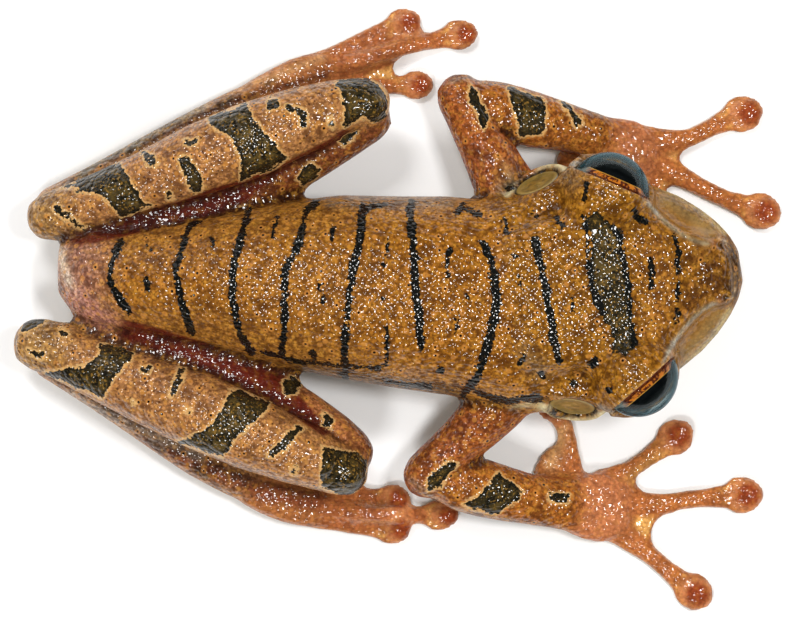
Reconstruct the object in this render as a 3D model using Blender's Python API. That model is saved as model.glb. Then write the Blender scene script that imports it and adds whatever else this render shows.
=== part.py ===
"""A life-size tree frog, Osteocephalus mutabor, crouched with its hind legs folded.

Run it with: blender --background --python part.py

The model is in metres with +Z up. The frog faces +X and its left side is at +Y. Its belly,
hands and feet rest on the plane Z = 0. Sizes below are millimetres, measured in plan from above.
A station is (x, y, z, half width, half height) on a limb's centre line.
"""

import math

import bmesh
import bpy
from mathutils import Matrix, Vector

MM = 0.001
GAP = 0.32  # clearance between neighbouring pieces

# Head. Along is counted from the neck to the tip of the snout, side from the midline.
HEAD_ORIGIN = (9.4, 1.0)
HEAD_TURN = math.radians(9.0)
SNOUT_ALONG = 21.5
NECK_ALONG = 0.4

EYE_RADIUS = 3.6
EYE_ALONG, EYE_SIDE, EYE_HEIGHT = 10.65, 8.4, 10.7
GAZE = Vector((0.53, 0.848, 0.0))  # the way the left eye looks, in the head's plan
LID_THICKNESS = 0.55
LID_OFFSET = 0.7  # the upper lid's edge, ahead of the eyeball's centre along the gaze
LOWER_LID_DROP = 0.3
LOWER_LID_SLOPE = math.radians(46)  # how steeply the opening falls away below the eye

TYMPANUM_RADIUS, TYMPANUM_THICKNESS = 1.9, 0.6
TYMPANUM_ALONG, TYMPANUM_SIDE, TYMPANUM_HEIGHT = 5.4, 10.35, 8.7
TYMPANUM_TILT = math.radians(22)
EAR_SEAT_DEPTH = 0.9  # the seat reaches this far in and out from the head's surface

NOSTRIL_ALONG, NOSTRIL_SIDE, NOSTRIL_HEIGHT = 19.45, 2.4, 10.55
NOSTRIL_RADIUS, NOSTRIL_DEPTH = 0.38, 0.65
NOSTRIL_WAY = Vector((0.35, 0.45, 0.8))  # the way the left nostril opens, in the head's frame
NOSTRIL_MOUND_RADIUS, NOSTRIL_MOUND_DROP = 0.8, 0.5

MOUTH_SLOT_HEIGHT, MOUTH_SLOT_DEPTH = 0.34, 0.6
MOUTH_SLOT_REACH = 2.5  # how far the cutting plate stands out past the lip
GAPE_MIDDLE = 5.0  # along the head, a point well inside the curve of the mouth

# Sides of the rings that the pieces are skinned over.
BODY_SIDES, CROWN_SIDES, LIMB_SIDES, DIGIT_SIDES = 28, 18, 14, 8
CAP_ANGLES = (40, 75)  # the rings of the dome that closes a limb's end, in degrees

SKIN_OCHRE = (0.42, 0.22, 0.055, 1.0)
SKIN_TAN = (0.50, 0.27, 0.11, 1.0)
SKIN_MAROON = (0.20, 0.045, 0.025, 1.0)
SKIN_ORANGE = (0.58, 0.17, 0.055, 1.0)
EYE_BLACK = (0.01, 0.015, 0.02, 1.0)
EAR_OLIVE = (0.30, 0.22, 0.06, 1.0)

# Body: (x, y, half width, widest height, top, bottom, fullness) from the vent to the neck.
TRUNK = [
    (-30.9, 3.9, 2.0, 6.0, 7.8, 4.2, 2.0),
    (-30.0, 3.8, 3.3, 5.8, 8.8, 2.8, 2.0),
    (-28.2, 3.4, 4.6, 5.5, 9.9, 1.6, 2.0),
    (-25.5, 3.0, 5.1, 5.3, 11.2, 0.8, 2.1),
    (-22.0, 2.9, 5.6, 5.4, 12.7, 0.2, 2.1),
    (-17.2, 2.9, 6.3, 5.7, 14.3, -0.2, 2.2),
    (-11.8, 2.7, 7.3, 5.9, 15.1, -0.4, 2.3),
    (-5.5, 2.4, 8.3, 6.1, 15.3, -0.5, 2.3),
    (-0.1, 1.9, 8.7, 6.3, 15.1, -0.5, 2.3),
    (4.2, 1.6, 9.0, 6.5, 14.8, -0.1, 2.3),
]

# Jaw: (along, half width, widest height, top, bottom, fullness) from the neck to the lip.
JAW = [
    (-1.0, 9.7, 6.8, 14.3, 1.0, 2.3),
    (3.0, 10.7, 6.7, 13.7, 2.0, 2.2),
    (6.0, 11.1, 6.6, 13.2, 2.5, 2.1),
    (9.0, 10.8, 6.5, 12.6, 2.9, 2.0),
    (12.0, 9.6, 6.5, 11.9, 3.2, 1.9),
    (14.5, 8.4, 6.6, 11.2, 3.5, 1.9),
    (16.8, 7.0, 6.8, 10.6, 3.9, 1.9),
    (18.5, 5.6, 7.0, 10.1, 4.3, 2.0),
    (19.8, 4.2, 7.1, 9.6, 4.8, 2.0),
    (20.7, 2.9, 7.2, 9.1, 5.4, 2.0),
    (21.3, 1.5, 7.3, 8.5, 6.1, 2.0),
]

# Crown: (along, half width, middle height, half height) of the raised, flat top of the head.
CROWN = [
    (-2.0, 5.0, 10.5, 3.4),
    (1.0, 6.6, 10.7, 3.6),
    (4.5, 7.2, 10.6, 3.7),
    (8.0, 7.5, 10.4, 3.7),
    (11.0, 7.6, 10.1, 3.7),
    (13.2, 7.0, 9.8, 3.6),
    (14.8, 5.6, 9.5, 3.4),
    (16.6, 4.1, 9.2, 3.0),
    (18.4, 3.1, 9.0, 2.5),
    (19.7, 2.6, 8.8, 2.0),
    (20.5, 1.6, 8.6, 1.5),
]
CROWN_FULLNESS = 3.4

# The lip's outline in plan and the height of the mouth there: (along, side, height).
MOUTH_LINE = [
    (3.6, 11.0, 5.3),
    (6.5, 11.2, 5.5),
    (9.5, 10.8, 5.6),
    (12.5, 9.8, 5.7),
    (15.2, 8.2, 5.9),
    (17.6, 6.4, 6.1),
    (19.5, 4.5, 6.3),
    (20.8, 2.4, 6.4),
    (21.4, 0.0, 6.5),
]

# The fold of skin that runs from behind the eye over the eardrum to the shoulder.
EAR_FOLD = [
    (7.3, 10.6, 10.9, 0.6, 0.6),
    (5.8, 10.1, 11.3, 0.8, 0.7),
    (4.0, 10.1, 10.8, 0.85, 0.75),
    (2.6, 10.5, 9.6, 0.8, 0.7),
]

# Arms, from the shoulder to the elbow and from the elbow to the wrist.
UPPER_ARM = {
    "left": [
        (10.4, 8.4, 6.6, 3.1, 2.9),
        (9.1, 12.0, 6.1, 2.75, 2.6),
        (7.6, 15.0, 5.4, 2.35, 2.4),
        (6.2, 17.9, 4.9, 2.2, 2.3),
        (5.3, 19.7, 4.8, 2.15, 2.2),
    ],
    "right": [
        (10.5, -5.6, 6.6, 3.4, 2.9),
        (8.2, -8.6, 6.1, 2.7, 2.6),
        (5.7, -11.3, 5.4, 2.25, 2.4),
        (3.3, -13.6, 4.9, 2.2, 2.3),
        (2.2, -14.7, 4.8, 2.15, 2.2),
    ],
}
FOREARM = {
    "left": [
        (5.7, 19.6, 4.8, 1.75, 1.8),
        (8.5, 18.4, 4.3, 2.65, 2.3),
        (12.5, 17.4, 3.5, 2.5, 2.0),
        (15.5, 16.7, 2.6, 2.15, 1.7),
        (18.0, 15.8, 2.1, 2.2, 1.4),
    ],
    "right": [
        (2.7, -14.7, 4.8, 1.7, 1.8),
        (5.6, -15.3, 4.3, 2.65, 2.3),
        (9.3, -16.3, 3.5, 2.5, 2.0),
        (12.6, -17.0, 2.6, 2.25, 1.7),
        (15.2, -17.3, 2.1, 2.4, 1.4),
    ],
}
PALM = {
    "left": [
        (17.6, 15.9, 1.9, 2.1, 1.3),
        (19.4, 15.1, 1.4, 2.7, 1.2),
        (21.0, 14.7, 1.1, 2.75, 1.1),
        (22.4, 14.7, 0.9, 2.3, 0.9),
    ],
    "right": [
        (14.9, -17.3, 1.9, 2.3, 1.3),
        (16.9, -17.5, 1.4, 3.0, 1.2),
        (18.6, -17.6, 1.1, 3.1, 1.1),
        (20.0, -17.6, 0.9, 2.6, 0.9),
    ],
}
# The fleshy lobe at the base of the first finger.
THENAR = {
    "left": [
        (16.8, 14.4, 0.66, 1.2, 0.72),
        (15.7, 13.9, 0.62, 1.6, 0.7),
        (15.3, 13.0, 0.56, 1.2, 0.6),
    ],
    "right": [
        (14.5, -16.0, 0.66, 1.6, 0.72),
        (14.0, -14.4, 0.62, 1.95, 0.7),
        (14.6, -12.6, 0.5, 1.15, 0.5),
    ],
}

# Digits: the centre line in plan from the root to the middle of the disc.
FINGERS = {
    "left": [
        [(17.6, 14.2), (17.4, 12.2), (16.8, 10.2), (15.8, 8.4)],
        [(20.9, 13.6), (22.6, 11.4), (24.2, 9.2), (26.2, 6.8)],
        [(22.4, 13.8), (25.3, 12.5), (27.2, 11.5), (29.6, 10.35), (32.6, 9.3)],
        [(22.6, 15.7), (25.3, 15.7), (27.2, 16.4), (29.0, 17.3), (30.9, 18.1)],
    ],
    "right": [
        [(15.5, -15.6), (15.3, -13.3), (15.1, -11.4), (14.7, -10.0), (13.7, -8.5)],
        [(18.3, -15.4), (20.3, -14.5), (21.7, -13.6), (23.1, -12.6), (24.8, -11.3)],
        [(20.4, -17.2), (23.5, -17.4), (25.3, -17.0), (27.2, -16.8), (30.9, -16.5)],
        [(19.2, -19.4), (21.7, -21.2), (23.4, -22.6), (24.9, -23.9), (26.5, -25.2)],
    ],
}
FINGER_DISC_RADII = (1.25, 1.66, 1.74, 1.7)
FINGER_ROOT, FINGER_NECK = 1.3, 0.78

THIGH = {
    "left": [
        (-26.6, 5.0, 5.4, 3.2, 3.8),
        (-22.6, 7.0, 5.4, 3.3, 4.0),
        (-18.1, 9.2, 5.4, 3.2, 3.9),
        (-13.6, 11.6, 5.6, 2.9, 3.5),
        (-9.1, 13.9, 6.1, 2.5, 3.0),
        (-5.0, 16.2, 6.8, 2.2, 2.6),
        (-2.8, 17.6, 7.1, 2.1, 2.4),
    ],
    "right": [
        (-26.4, 1.0, 5.4, 3.2, 3.8),
        (-22.6, -1.2, 5.4, 3.3, 4.0),
        (-18.1, -3.8, 5.4, 3.2, 3.9),
        (-13.6, -6.7, 5.6, 2.9, 3.5),
        (-9.1, -9.4, 6.1, 2.6, 3.0),
        (-6.0, -11.3, 6.8, 2.3, 2.6),
        (-4.4, -12.6, 7.1, 2.1, 2.4),
    ],
}
SHANK = {
    "left": [
        (-3.0, 19.0, 8.4, 2.3, 2.4),
        (-5.6, 18.5, 8.9, 2.6, 2.7),
        (-9.1, 17.3, 9.5, 3.1, 3.0),
        (-13.6, 15.5, 9.7, 3.5, 3.2),
        (-18.1, 13.8, 9.2, 3.3, 3.1),
        (-22.6, 11.9, 8.2, 2.85, 2.8),
        (-27.1, 10.2, 6.9, 2.5, 2.5),
        (-30.4, 9.1, 5.9, 2.35, 2.3),
        (-31.8, 8.7, 5.5, 2.2, 2.2),
    ],
    "right": [
        (-5.0, -14.2, 8.4, 2.3, 2.4),
        (-7.0, -13.4, 8.9, 2.6, 2.7),
        (-9.6, -12.4, 9.5, 2.95, 3.0),
        (-13.6, -10.7, 9.7, 3.4, 3.2),
        (-18.1, -8.8, 9.2, 3.45, 3.1),
        (-22.6, -6.9, 8.2, 3.2, 2.8),
        (-27.1, -5.0, 6.9, 2.8, 2.5),
        (-30.8, -3.3, 5.9, 2.6, 2.3),
        (-33.0, -2.7, 5.5, 2.35, 2.2),
    ],
}
TARSUS = {
    "left": [
        (-31.6, 9.7, 3.6, 1.7, 1.8),
        (-27.1, 11.8, 3.0, 1.9, 1.9),
        (-22.6, 14.2, 2.4, 2.0, 1.9),
        (-18.1, 16.7, 2.1, 1.95, 1.8),
        (-14.2, 18.8, 1.9, 1.8, 1.7),
    ],
    "right": [
        (-31.9, -4.1, 3.6, 1.7, 1.8),
        (-27.2, -6.9, 3.0, 1.9, 1.9),
        (-22.7, -9.8, 2.4, 2.05, 1.9),
        (-18.2, -12.8, 2.1, 2.1, 1.8),
        (-14.3, -15.0, 1.9, 1.95, 1.7),
    ],
}
SOLE = {
    "left": [
        (-14.6, 18.6, 1.7, 1.7, 1.5),
        (-11.8, 20.1, 1.5, 1.8, 1.35),
        (-9.4, 21.3, 1.25, 1.85, 1.2),
        (-7.2, 22.0, 1.0, 1.8, 1.0),
    ],
    "right": [
        (-14.7, -14.8, 1.7, 1.85, 1.5),
        (-12.2, -16.2, 1.5, 1.95, 1.35),
        (-9.8, -17.2, 1.25, 1.9, 1.2),
        (-7.7, -17.6, 1.0, 1.8, 1.0),
    ],
}
TOES = {
    "left": [
        [(-9.8, 20.0), (-8.4, 19.0), (-7.0, 18.2), (-5.6, 17.4)],
        [(-8.0, 20.6), (-6.2, 19.9), (-4.6, 19.2), (-2.9, 18.6)],
        [(-7.2, 21.3), (-4.6, 20.9), (-2.4, 20.7), (1.3, 20.75)],
        [(-7.6, 22.0), (-4.6, 22.6), (-1.9, 23.5), (1.7, 24.5), (5.2, 25.3)],
        [(-8.4, 22.6), (-6.4, 23.4), (-4.6, 24.3), (-2.8, 25.2), (0.1, 26.3)],
    ],
    "right": [
        [(-10.4, -15.4), (-9.4, -14.4), (-8.4, -13.8), (-7.2, -13.3)],
        [(-8.6, -16.0), (-7.4, -15.4), (-6.2, -15.0), (-4.8, -14.7)],
        [(-7.8, -16.8), (-5.6, -16.6), (-3.7, -16.6), (-0.8, -16.8)],
        [(-7.8, -17.7), (-5.4, -17.85), (-1.9, -18.2), (0.8, -18.3), (3.4, -18.3)],
        [(-8.2, -18.6), (-6.0, -19.0), (-3.7, -19.4), (-0.9, -19.55)],
    ],
}
TOE_DISC_RADII = (0.95, 1.15, 1.36, 1.46, 1.46)
TOE_ROOT, TOE_NECK = 0.85, 0.68
TOE_LIFT = (0.0, 0.0, 0.0, 1.15, 0.0)  # the fourth toe lies over its neighbours

DIGIT_HALF_HEIGHT, DISC_HALF_HEIGHT = 0.62, 0.46
DISC_STATIONS = (-0.8, -0.35, 0.15, 0.6, 0.88)  # rings along a disc, as shares of its radius
SOLE_FLAT = 0.08  # how much of a digit's round underside is pressed flat
DISC_NECK = 1.35  # the digit's own stations stop this many disc radii short of the disc's middle
DIGIT_TAPER = 0.6  # the share of a digit's length over which it narrows to the neck
LIFT_SPAN, LIFT_ROUNDNESS = 0.9, 0.8  # how a lifted toe rises and comes down again
WEB_LOW, WEB_HIGH, WEB_STEPS, WEB_DIP = 0.08, 0.62, 4, 0.22
# Webs: (digit that carries it, the other, how far out each one reaches, how far back the root lies).
HAND_WEBS = {
    "left": [(2, 3, 0.3, 0.28, 0.8), (4, 3, 0.42, 0.36, 0.8)],
    "right": [(2, 3, 0.36, 0.33, 0.8), (4, 3, 0.48, 0.42, 0.8)],
}
FOOT_WEBS = {
    "left": [(3, 4, 0.88, 0.72, 0.6), (5, 4, 0.6, 0.45, 0.6), (2, 3, 0.5, 0.45, 0.6)],
    "right": [(3, 4, 0.55, 0.45, 0.6), (5, 4, 0.55, 0.45, 0.6), (2, 3, 0.5, 0.45, 0.6)],
}

OUTER_RINGS = {}  # each piece's rings grown by the gap, for cutting its neighbours back


def clear_scene():
    for obj in list(bpy.data.objects):
        bpy.data.objects.remove(obj)


def make_material(name, colour, roughness):
    material = bpy.data.materials.new(name)
    material.use_nodes = True
    shader = material.node_tree.nodes["Principled BSDF"]
    shader.inputs["Base Color"].default_value = colour
    shader.inputs["Roughness"].default_value = roughness
    shader.inputs["Metallic"].default_value = 0.0
    return material


def make_object(name, bm, material=None):
    bmesh.ops.recalc_face_normals(bm, faces=bm.faces)
    mesh = bpy.data.meshes.new(name)
    bm.to_mesh(mesh)
    bm.free()
    mesh.shade_smooth()
    obj = bpy.data.objects.new(name, mesh)
    bpy.context.scene.collection.objects.link(obj)
    if material:
        mesh.materials.append(material)
    return obj


def smooth_curve(stations, steps):
    """Points on a Catmull-Rom curve through the stations, with this many to each span."""
    ends = [stations[0], *stations, stations[-1]]
    points = []
    for before, start, stop, after in zip(ends, ends[1:], ends[2:], ends[3:]):
        for step in range(steps):
            t = step / steps
            weights = (
                (2 * t**2 - t - t**3) / 2,
                (2 - 5 * t**2 + 3 * t**3) / 2,
                (t + 4 * t**2 - 3 * t**3) / 2,
                (t**3 - t**2) / 2,
            )
            corners = zip(before, start, stop, after)
            points.append(tuple(sum(w * v for w, v in zip(weights, four)) for four in corners))
    return points + [tuple(stations[-1])]


def ring_shape(sides, fullness):
    """Unit points round a super-ellipse: 2 is a circle, and more is squarer."""
    shape = []
    for index in range(sides):
        angle = 2 * math.pi * (index + 0.5) / sides
        across, up = math.cos(angle), math.sin(angle)
        shape.append(
            (
                math.copysign(abs(across) ** (2 / fullness), across),
                math.copysign(abs(up) ** (2 / fullness), up),
            )
        )
    return shape


def skin_rings(name, rings, material=None):
    """A closed body over rings of points in millimetres, pressed flat where it meets the floor."""
    bm = bmesh.new()
    loops = []
    for ring in rings:
        loops.append([bm.verts.new((x * MM, y * MM, max(z, 0.0) * MM)) for x, y, z in ring])
    for near, far in zip(loops, loops[1:]):
        for index in range(len(near)):
            after = (index + 1) % len(near)
            bm.faces.new((near[index], near[after], far[after], far[index]))
    bm.faces.new(loops[0])
    bm.faces.new(loops[-1])
    return make_object(name, bm, material)


def limb_rings(stations, sides, grow=0.0, steps=2, fullness=2.0, dome=0.9):
    """Rings square to a limb's centre line, closed by a dome at each end."""
    points = smooth_curve(stations, steps)
    centres = [Vector(p[:3]) for p in points]
    halves = [(p[3] + grow, p[4] + grow) for p in points]
    ways = [
        (centres[min(i + 1, len(centres) - 1)] - centres[max(i - 1, 0)]).normalized()
        for i in range(len(centres))
    ]
    placed = list(zip(centres, ways, halves))
    for end, sign in ((0, -1), (-1, 1)):
        centre, way, (wide, high) = placed[end]
        cap = []
        for angle in CAP_ANGLES:
            reach = min(wide, high) * dome * math.sin(math.radians(angle))
            shrink = math.cos(math.radians(angle))
            cap.append((centre + way * sign * reach, way, (wide * shrink, high * shrink)))
        placed = cap[::-1] + placed if end == 0 else placed + cap
    rings = []
    for centre, way, (wide, high) in placed:
        across = Vector((-way.y, way.x, 0)).normalized()
        up = way.cross(across)
        up = up if up.z > 0 else -up
        rings.append(
            [centre + across * wide * a + up * high * b for a, b in ring_shape(sides, fullness)]
        )
    return rings


def head_point(along, side, height):
    """A point given along and beside the head's own midline, in the frog's frame."""
    cos, sin = math.cos(HEAD_TURN), math.sin(HEAD_TURN)
    return Vector(
        (
            HEAD_ORIGIN[0] + along * cos - side * sin,
            HEAD_ORIGIN[1] + along * sin + side * cos,
            height,
        )
    )


def head_way(way):
    """A direction in the head's plan, turned into the frog's frame."""
    return Matrix.Rotation(HEAD_TURN, 3, "Z") @ Vector(way)


def body_rings(grow=0.0):
    """Upright rings from the vent to the lip. They turn with the head from the neck on."""
    stations = []
    for x, y, wide, middle, top, bottom, fullness in TRUNK:
        stations.append((x, y, 0.0, wide, middle, top, bottom, fullness))
    for along, wide, middle, top, bottom, fullness in JAW:
        centre = head_point(along, 0, 0)
        stations.append((centre.x, centre.y, HEAD_TURN, wide, middle, top, bottom, fullness))
    rings = []
    for x, y, turn, wide, middle, top, bottom, fullness in stations:
        ring = []
        for across, up in ring_shape(BODY_SIDES, fullness):
            side = across * (wide + grow)
            reach = (top - middle if up > 0 else middle - bottom) + grow
            ring.append((x - side * math.sin(turn), y + side * math.cos(turn), middle + up * reach))
        rings.append(ring)
    return rings


def crown_rings():
    rings = []
    for along, wide, middle, half_height in CROWN:
        rings.append(
            [
                head_point(along, across * wide, middle + up * half_height)
                for across, up in ring_shape(CROWN_SIDES, CROWN_FULLNESS)
            ]
        )
    return rings


def ball(name, centre, radius, material=None, rings=12, segments=20):
    bm = bmesh.new()
    bmesh.ops.create_uvsphere(bm, u_segments=segments, v_segments=rings, radius=radius * MM)
    bmesh.ops.translate(bm, verts=bm.verts, vec=Vector(centre) * MM)
    return make_object(name, bm, material)


def drum(name, centre, way, radius, length, material=None, segments=20):
    """A short cylinder with its middle at centre and its axis along way."""
    bm = bmesh.new()
    bmesh.ops.create_cone(
        bm, cap_ends=True, segments=segments, radius1=radius * MM, radius2=radius * MM, depth=length * MM
    )
    turn = Vector((0, 0, 1)).rotation_difference(Vector(way)).to_matrix().to_4x4()
    bmesh.ops.transform(bm, matrix=Matrix.Translation(Vector(centre) * MM) @ turn, verts=bm.verts)
    return make_object(name, bm, material)


def prism(name, corners, way, length):
    """A cutter with a flat outline of corners, pushed out along way."""
    bm = bmesh.new()
    face = bm.faces.new([bm.verts.new(Vector(corner) * MM) for corner in corners])
    pushed = bmesh.ops.extrude_face_region(bm, geom=[face])
    moved = [item for item in pushed["geom"] if isinstance(item, bmesh.types.BMVert)]
    bmesh.ops.translate(bm, verts=moved, vec=Vector(way) * length * MM)
    return make_object(name, bm)


def combine(obj, operation, others):
    """Joins the other closed meshes to obj, or cuts them from it, and removes them."""
    group = bpy.data.collections.new(obj.name + "_tools")
    for other in others:
        group.objects.link(other)
    modifier = obj.modifiers.new(operation.lower(), "BOOLEAN")
    modifier.operation = operation
    modifier.operand_type = "COLLECTION"
    modifier.collection = group
    modifier.solver = "EXACT"
    modifier.use_self = operation == "UNION"
    graph = bpy.context.evaluated_depsgraph_get()
    result = bpy.data.meshes.new_from_object(obj.evaluated_get(graph))
    obj.modifiers.clear()
    obj.data = result
    for other in others:
        bpy.data.objects.remove(other)
    bpy.data.collections.remove(group)
    keep_largest(obj)
    return obj


def keep_largest(obj):
    """Drops every loose shell of a mesh but the one with the most points."""
    bm = bmesh.new()
    bm.from_mesh(obj.data)
    waiting = set(bm.verts)
    shells = []
    while waiting:
        shell, edge_front = set(), [waiting.pop()]
        while edge_front:
            vert = edge_front.pop()
            shell.add(vert)
            for edge in vert.link_edges:
                other = edge.other_vert(vert)
                if other in waiting:
                    waiting.remove(other)
                    edge_front.append(other)
        shells.append(shell)
    shells.sort(key=len)
    loose = [vert for shell in shells[:-1] for vert in shell]
    bmesh.ops.delete(bm, geom=loose, context="VERTS")
    bm.to_mesh(obj.data)
    bm.free()
    obj.data.shade_smooth()


def eye_centre(sign):
    return head_point(EYE_ALONG, sign * EYE_SIDE, EYE_HEIGHT)


def gaze(sign):
    return head_way((GAZE.x, sign * GAZE.y, 0))


def eyelids(sign):
    """A shell round the eyeball, open in a wedge between the upper and the lower lid."""
    centre, out = eye_centre(sign), gaze(sign)
    along = Vector((out.y, -out.x, 0))
    shell = ball("lids", centre, EYE_RADIUS + GAP + LID_THICKNESS)
    corner = centre + out * LID_OFFSET - Vector((0, 0, LOWER_LID_DROP))
    low_way = out * math.cos(LOWER_LID_SLOPE) - Vector((0, 0, math.sin(LOWER_LID_SLOPE)))
    reach = EYE_RADIUS * 3
    outline = [
        corner,
        corner + Vector((0, 0, reach)),
        corner + Vector((0, 0, reach)) + out * reach,
        corner + low_way * reach + out * reach,
        corner + low_way * reach,
    ]
    start = [point - along * reach for point in outline]
    return combine(shell, "DIFFERENCE", [prism("opening", start, along, 2 * reach)])


def ear_way(sign):
    tilt = Vector((0.05, sign * math.cos(TYMPANUM_TILT), math.sin(TYMPANUM_TILT)))
    return head_way(tilt.normalized())


def mouth_slot():
    """A thin plate that bites into the lip all the way round the snout."""
    right = [(along, -side, height) for along, side, height in MOUTH_LINE[:-1]]
    line = MOUTH_LINE + right[::-1]
    rings = []
    for index, (along, side, height) in enumerate(line):
        before, after = line[max(index - 1, 0)], line[min(index + 1, len(line) - 1)]
        way = Vector((after[0] - before[0], after[1] - before[1])).normalized()
        out = Vector((way.y, -way.x))
        if out.dot(Vector((along - GAPE_MIDDLE, side))) < 0:
            out = -out
        half = MOUTH_SLOT_HEIGHT / 2
        rings.append(
            [
                head_point(along + out.x * reach, side + out.y * reach, height + rise)
                for reach, rise in (
                    (-MOUTH_SLOT_DEPTH, -half),
                    (-MOUTH_SLOT_DEPTH, half),
                    (MOUTH_SLOT_REACH, half),
                    (MOUTH_SLOT_REACH, -half),
                )
            ]
        )
    return skin_rings("mouth", rings)


def half_space(name, along, ahead):
    """A large block that fills everything ahead of the neck plane, or behind it."""
    reach = 80
    way = head_way((1, 0, 0))
    side = head_way((0, 1, 0))
    foot = head_point(along, 0, -reach / 8)
    corners = [
        foot - side * reach,
        foot + side * reach,
        foot + side * reach + Vector((0, 0, reach)),
        foot - side * reach + Vector((0, 0, reach)),
    ]
    return prism(name, corners, way if ahead else -way, 2 * reach)


def build_torso_and_head(skin):
    """The trunk and head are modelled as one body, then parted at the neck."""
    whole = skin_rings("head", body_rings(), skin)
    OUTER_RINGS["body"] = body_rings(GAP)
    extras = [skin_rings("crown", crown_rings())]
    cuts = [mouth_slot()]
    for sign in (1, -1):
        nostril = head_point(NOSTRIL_ALONG, sign * NOSTRIL_SIDE, NOSTRIL_HEIGHT)
        fold = []
        for along, side, height, wide, high in EAR_FOLD:
            fold.append((*head_point(along, sign * side, height), wide, high))
        extras.append(eyelids(sign))
        mound = nostril - Vector((0, 0, NOSTRIL_MOUND_DROP))
        extras.append(ball("nostril_mound", mound, NOSTRIL_MOUND_RADIUS, rings=6, segments=10))
        extras.append(skin_rings("ear_fold", limb_rings(fold, DIGIT_SIDES)))
        ear = head_point(TYMPANUM_ALONG, sign * TYMPANUM_SIDE, TYMPANUM_HEIGHT)
        cuts.append(ball("socket", eye_centre(sign), EYE_RADIUS + GAP))
        cuts.append(drum("ear_seat", ear, ear_way(sign), TYMPANUM_RADIUS + GAP, 2 * EAR_SEAT_DEPTH))
        into = head_way((NOSTRIL_WAY.x, sign * NOSTRIL_WAY.y, NOSTRIL_WAY.z)).normalized()
        pit = drum("nostril_pit", nostril, into, NOSTRIL_RADIUS, 2 * NOSTRIL_DEPTH, segments=10)
        cuts.append(pit)
    combine(whole, "UNION", extras)
    combine(whole, "DIFFERENCE", cuts)
    torso = bpy.data.objects.new("torso", whole.data.copy())
    bpy.context.scene.collection.objects.link(torso)
    combine(torso, "DIFFERENCE", [half_space("front", NECK_ALONG - GAP / 2, True)])
    combine(whole, "DIFFERENCE", [half_space("back", NECK_ALONG + GAP / 2, False)])
    return torso, whole


def build_eye_and_ear(side, sign, eye_material, ear_material):
    ball("eye_" + side, eye_centre(sign), EYE_RADIUS, eye_material)
    ear = head_point(TYMPANUM_ALONG, sign * TYMPANUM_SIDE, TYMPANUM_HEIGHT)
    centre = ear - ear_way(sign) * (TYMPANUM_THICKNESS / 2)
    drum("eardrum_" + side, centre, ear_way(sign), TYMPANUM_RADIUS, TYMPANUM_THICKNESS, ear_material)


def clear_of(obj, *names):
    """Cuts obj back to leave the working gap round pieces that are already in place."""
    return combine(obj, "DIFFERENCE", [skin_rings("clearance", OUTER_RINGS[name]) for name in names])


def limb(name, stations, material, sides=LIMB_SIDES, against=(), **options):
    OUTER_RINGS[name] = limb_rings(stations, sides, grow=GAP, **options)
    obj = skin_rings(name, limb_rings(stations, sides, **options), material)
    return clear_of(obj, *against) if against else obj


def digit_stations(line, root, neck, disc, lift):
    """A digit's stations: it narrows from the root to the neck and widens to a round disc."""
    points = smooth_curve([(*p, 0.0) for p in line], 2)
    tip = Vector(points[-1][:2])
    way = (tip - Vector(points[-2][:2])).normalized()
    points = [p for p in points if (Vector(p[:2]) - tip).length > disc * DISC_NECK]
    stations = []
    for index, (x, y, _) in enumerate(points):
        share = index / max(1, len(points) - 1)
        wide = root + (neck - root) * min(1.0, share / DIGIT_TAPER)
        rise = lift * math.sin(math.pi * share * LIFT_SPAN) ** LIFT_ROUNDNESS
        stations.append((x, y, DIGIT_HALF_HEIGHT - SOLE_FLAT + rise, wide, DIGIT_HALF_HEIGHT))
    for offset in DISC_STATIONS:
        wide = disc * math.sqrt(1 - offset**2)
        x, y = tip + way * disc * offset
        stations.append((x, y, DISC_HALF_HEIGHT - SOLE_FLAT, wide, DISC_HALF_HEIGHT))
    return stations


def web(name, root, first, second, dip):
    """A thin web between two digits, its free edge curved in towards the root."""
    root, first, second = Vector(root), Vector(first), Vector(second)
    outline = [root]
    for step in range(WEB_STEPS + 1):
        share = step / WEB_STEPS
        point = first.lerp(second, share)
        outline.append(point + (root - point) * dip * math.sin(math.pi * share))
    corners = [(point.x, point.y, WEB_LOW) for point in outline]
    return prism(name, corners, (0, 0, 1), WEB_HIGH - WEB_LOW)


def along_line(line, share):
    """The point this far along a digit's centre line, as a share of its length."""
    points = [Vector(p) for p in line]
    left = share * sum((b - a).length for a, b in zip(points, points[1:]))
    for near, far in zip(points, points[1:]):
        if left <= (far - near).length:
            return near + (far - near).normalized() * left
        left -= (far - near).length
    return points[-1]


def build_digits(prefix, side, order, lines, discs, root, neck, lifts, webs, material):
    """One node for each digit, each cut back from those made before it, with the webs they carry."""
    names = []
    for number in order:
        index = number - 1
        stations = digit_stations(lines[index], root, neck, discs[index], lifts[index])
        name = f"{prefix}_{number}_{side}"
        digit = limb(name, stations, material, DIGIT_SIDES, steps=1, fullness=2.2, dome=0.75)
        pieces = [webs_between(lines, span) for span in webs if span[0] == number]
        if pieces:
            combine(digit, "UNION", [clear_of(piece, prefix + "_root_" + side) for piece in pieces])
        if names:
            clear_of(digit, *names)
        names.append(name)
    return names


def webs_between(lines, span):
    """The web for (digit, next digit, how far out on each, how far in at the root)."""
    first, second, out_first, out_second, back = span
    ends = along_line(lines[first - 1], out_first), along_line(lines[second - 1], out_second)
    roots = (Vector(lines[first - 1][0]) + Vector(lines[second - 1][0])) / 2
    root = roots - (sum(ends, Vector((0, 0))) / 2 - roots).normalized() * back
    return web("web", root, *ends, WEB_DIP)


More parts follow.
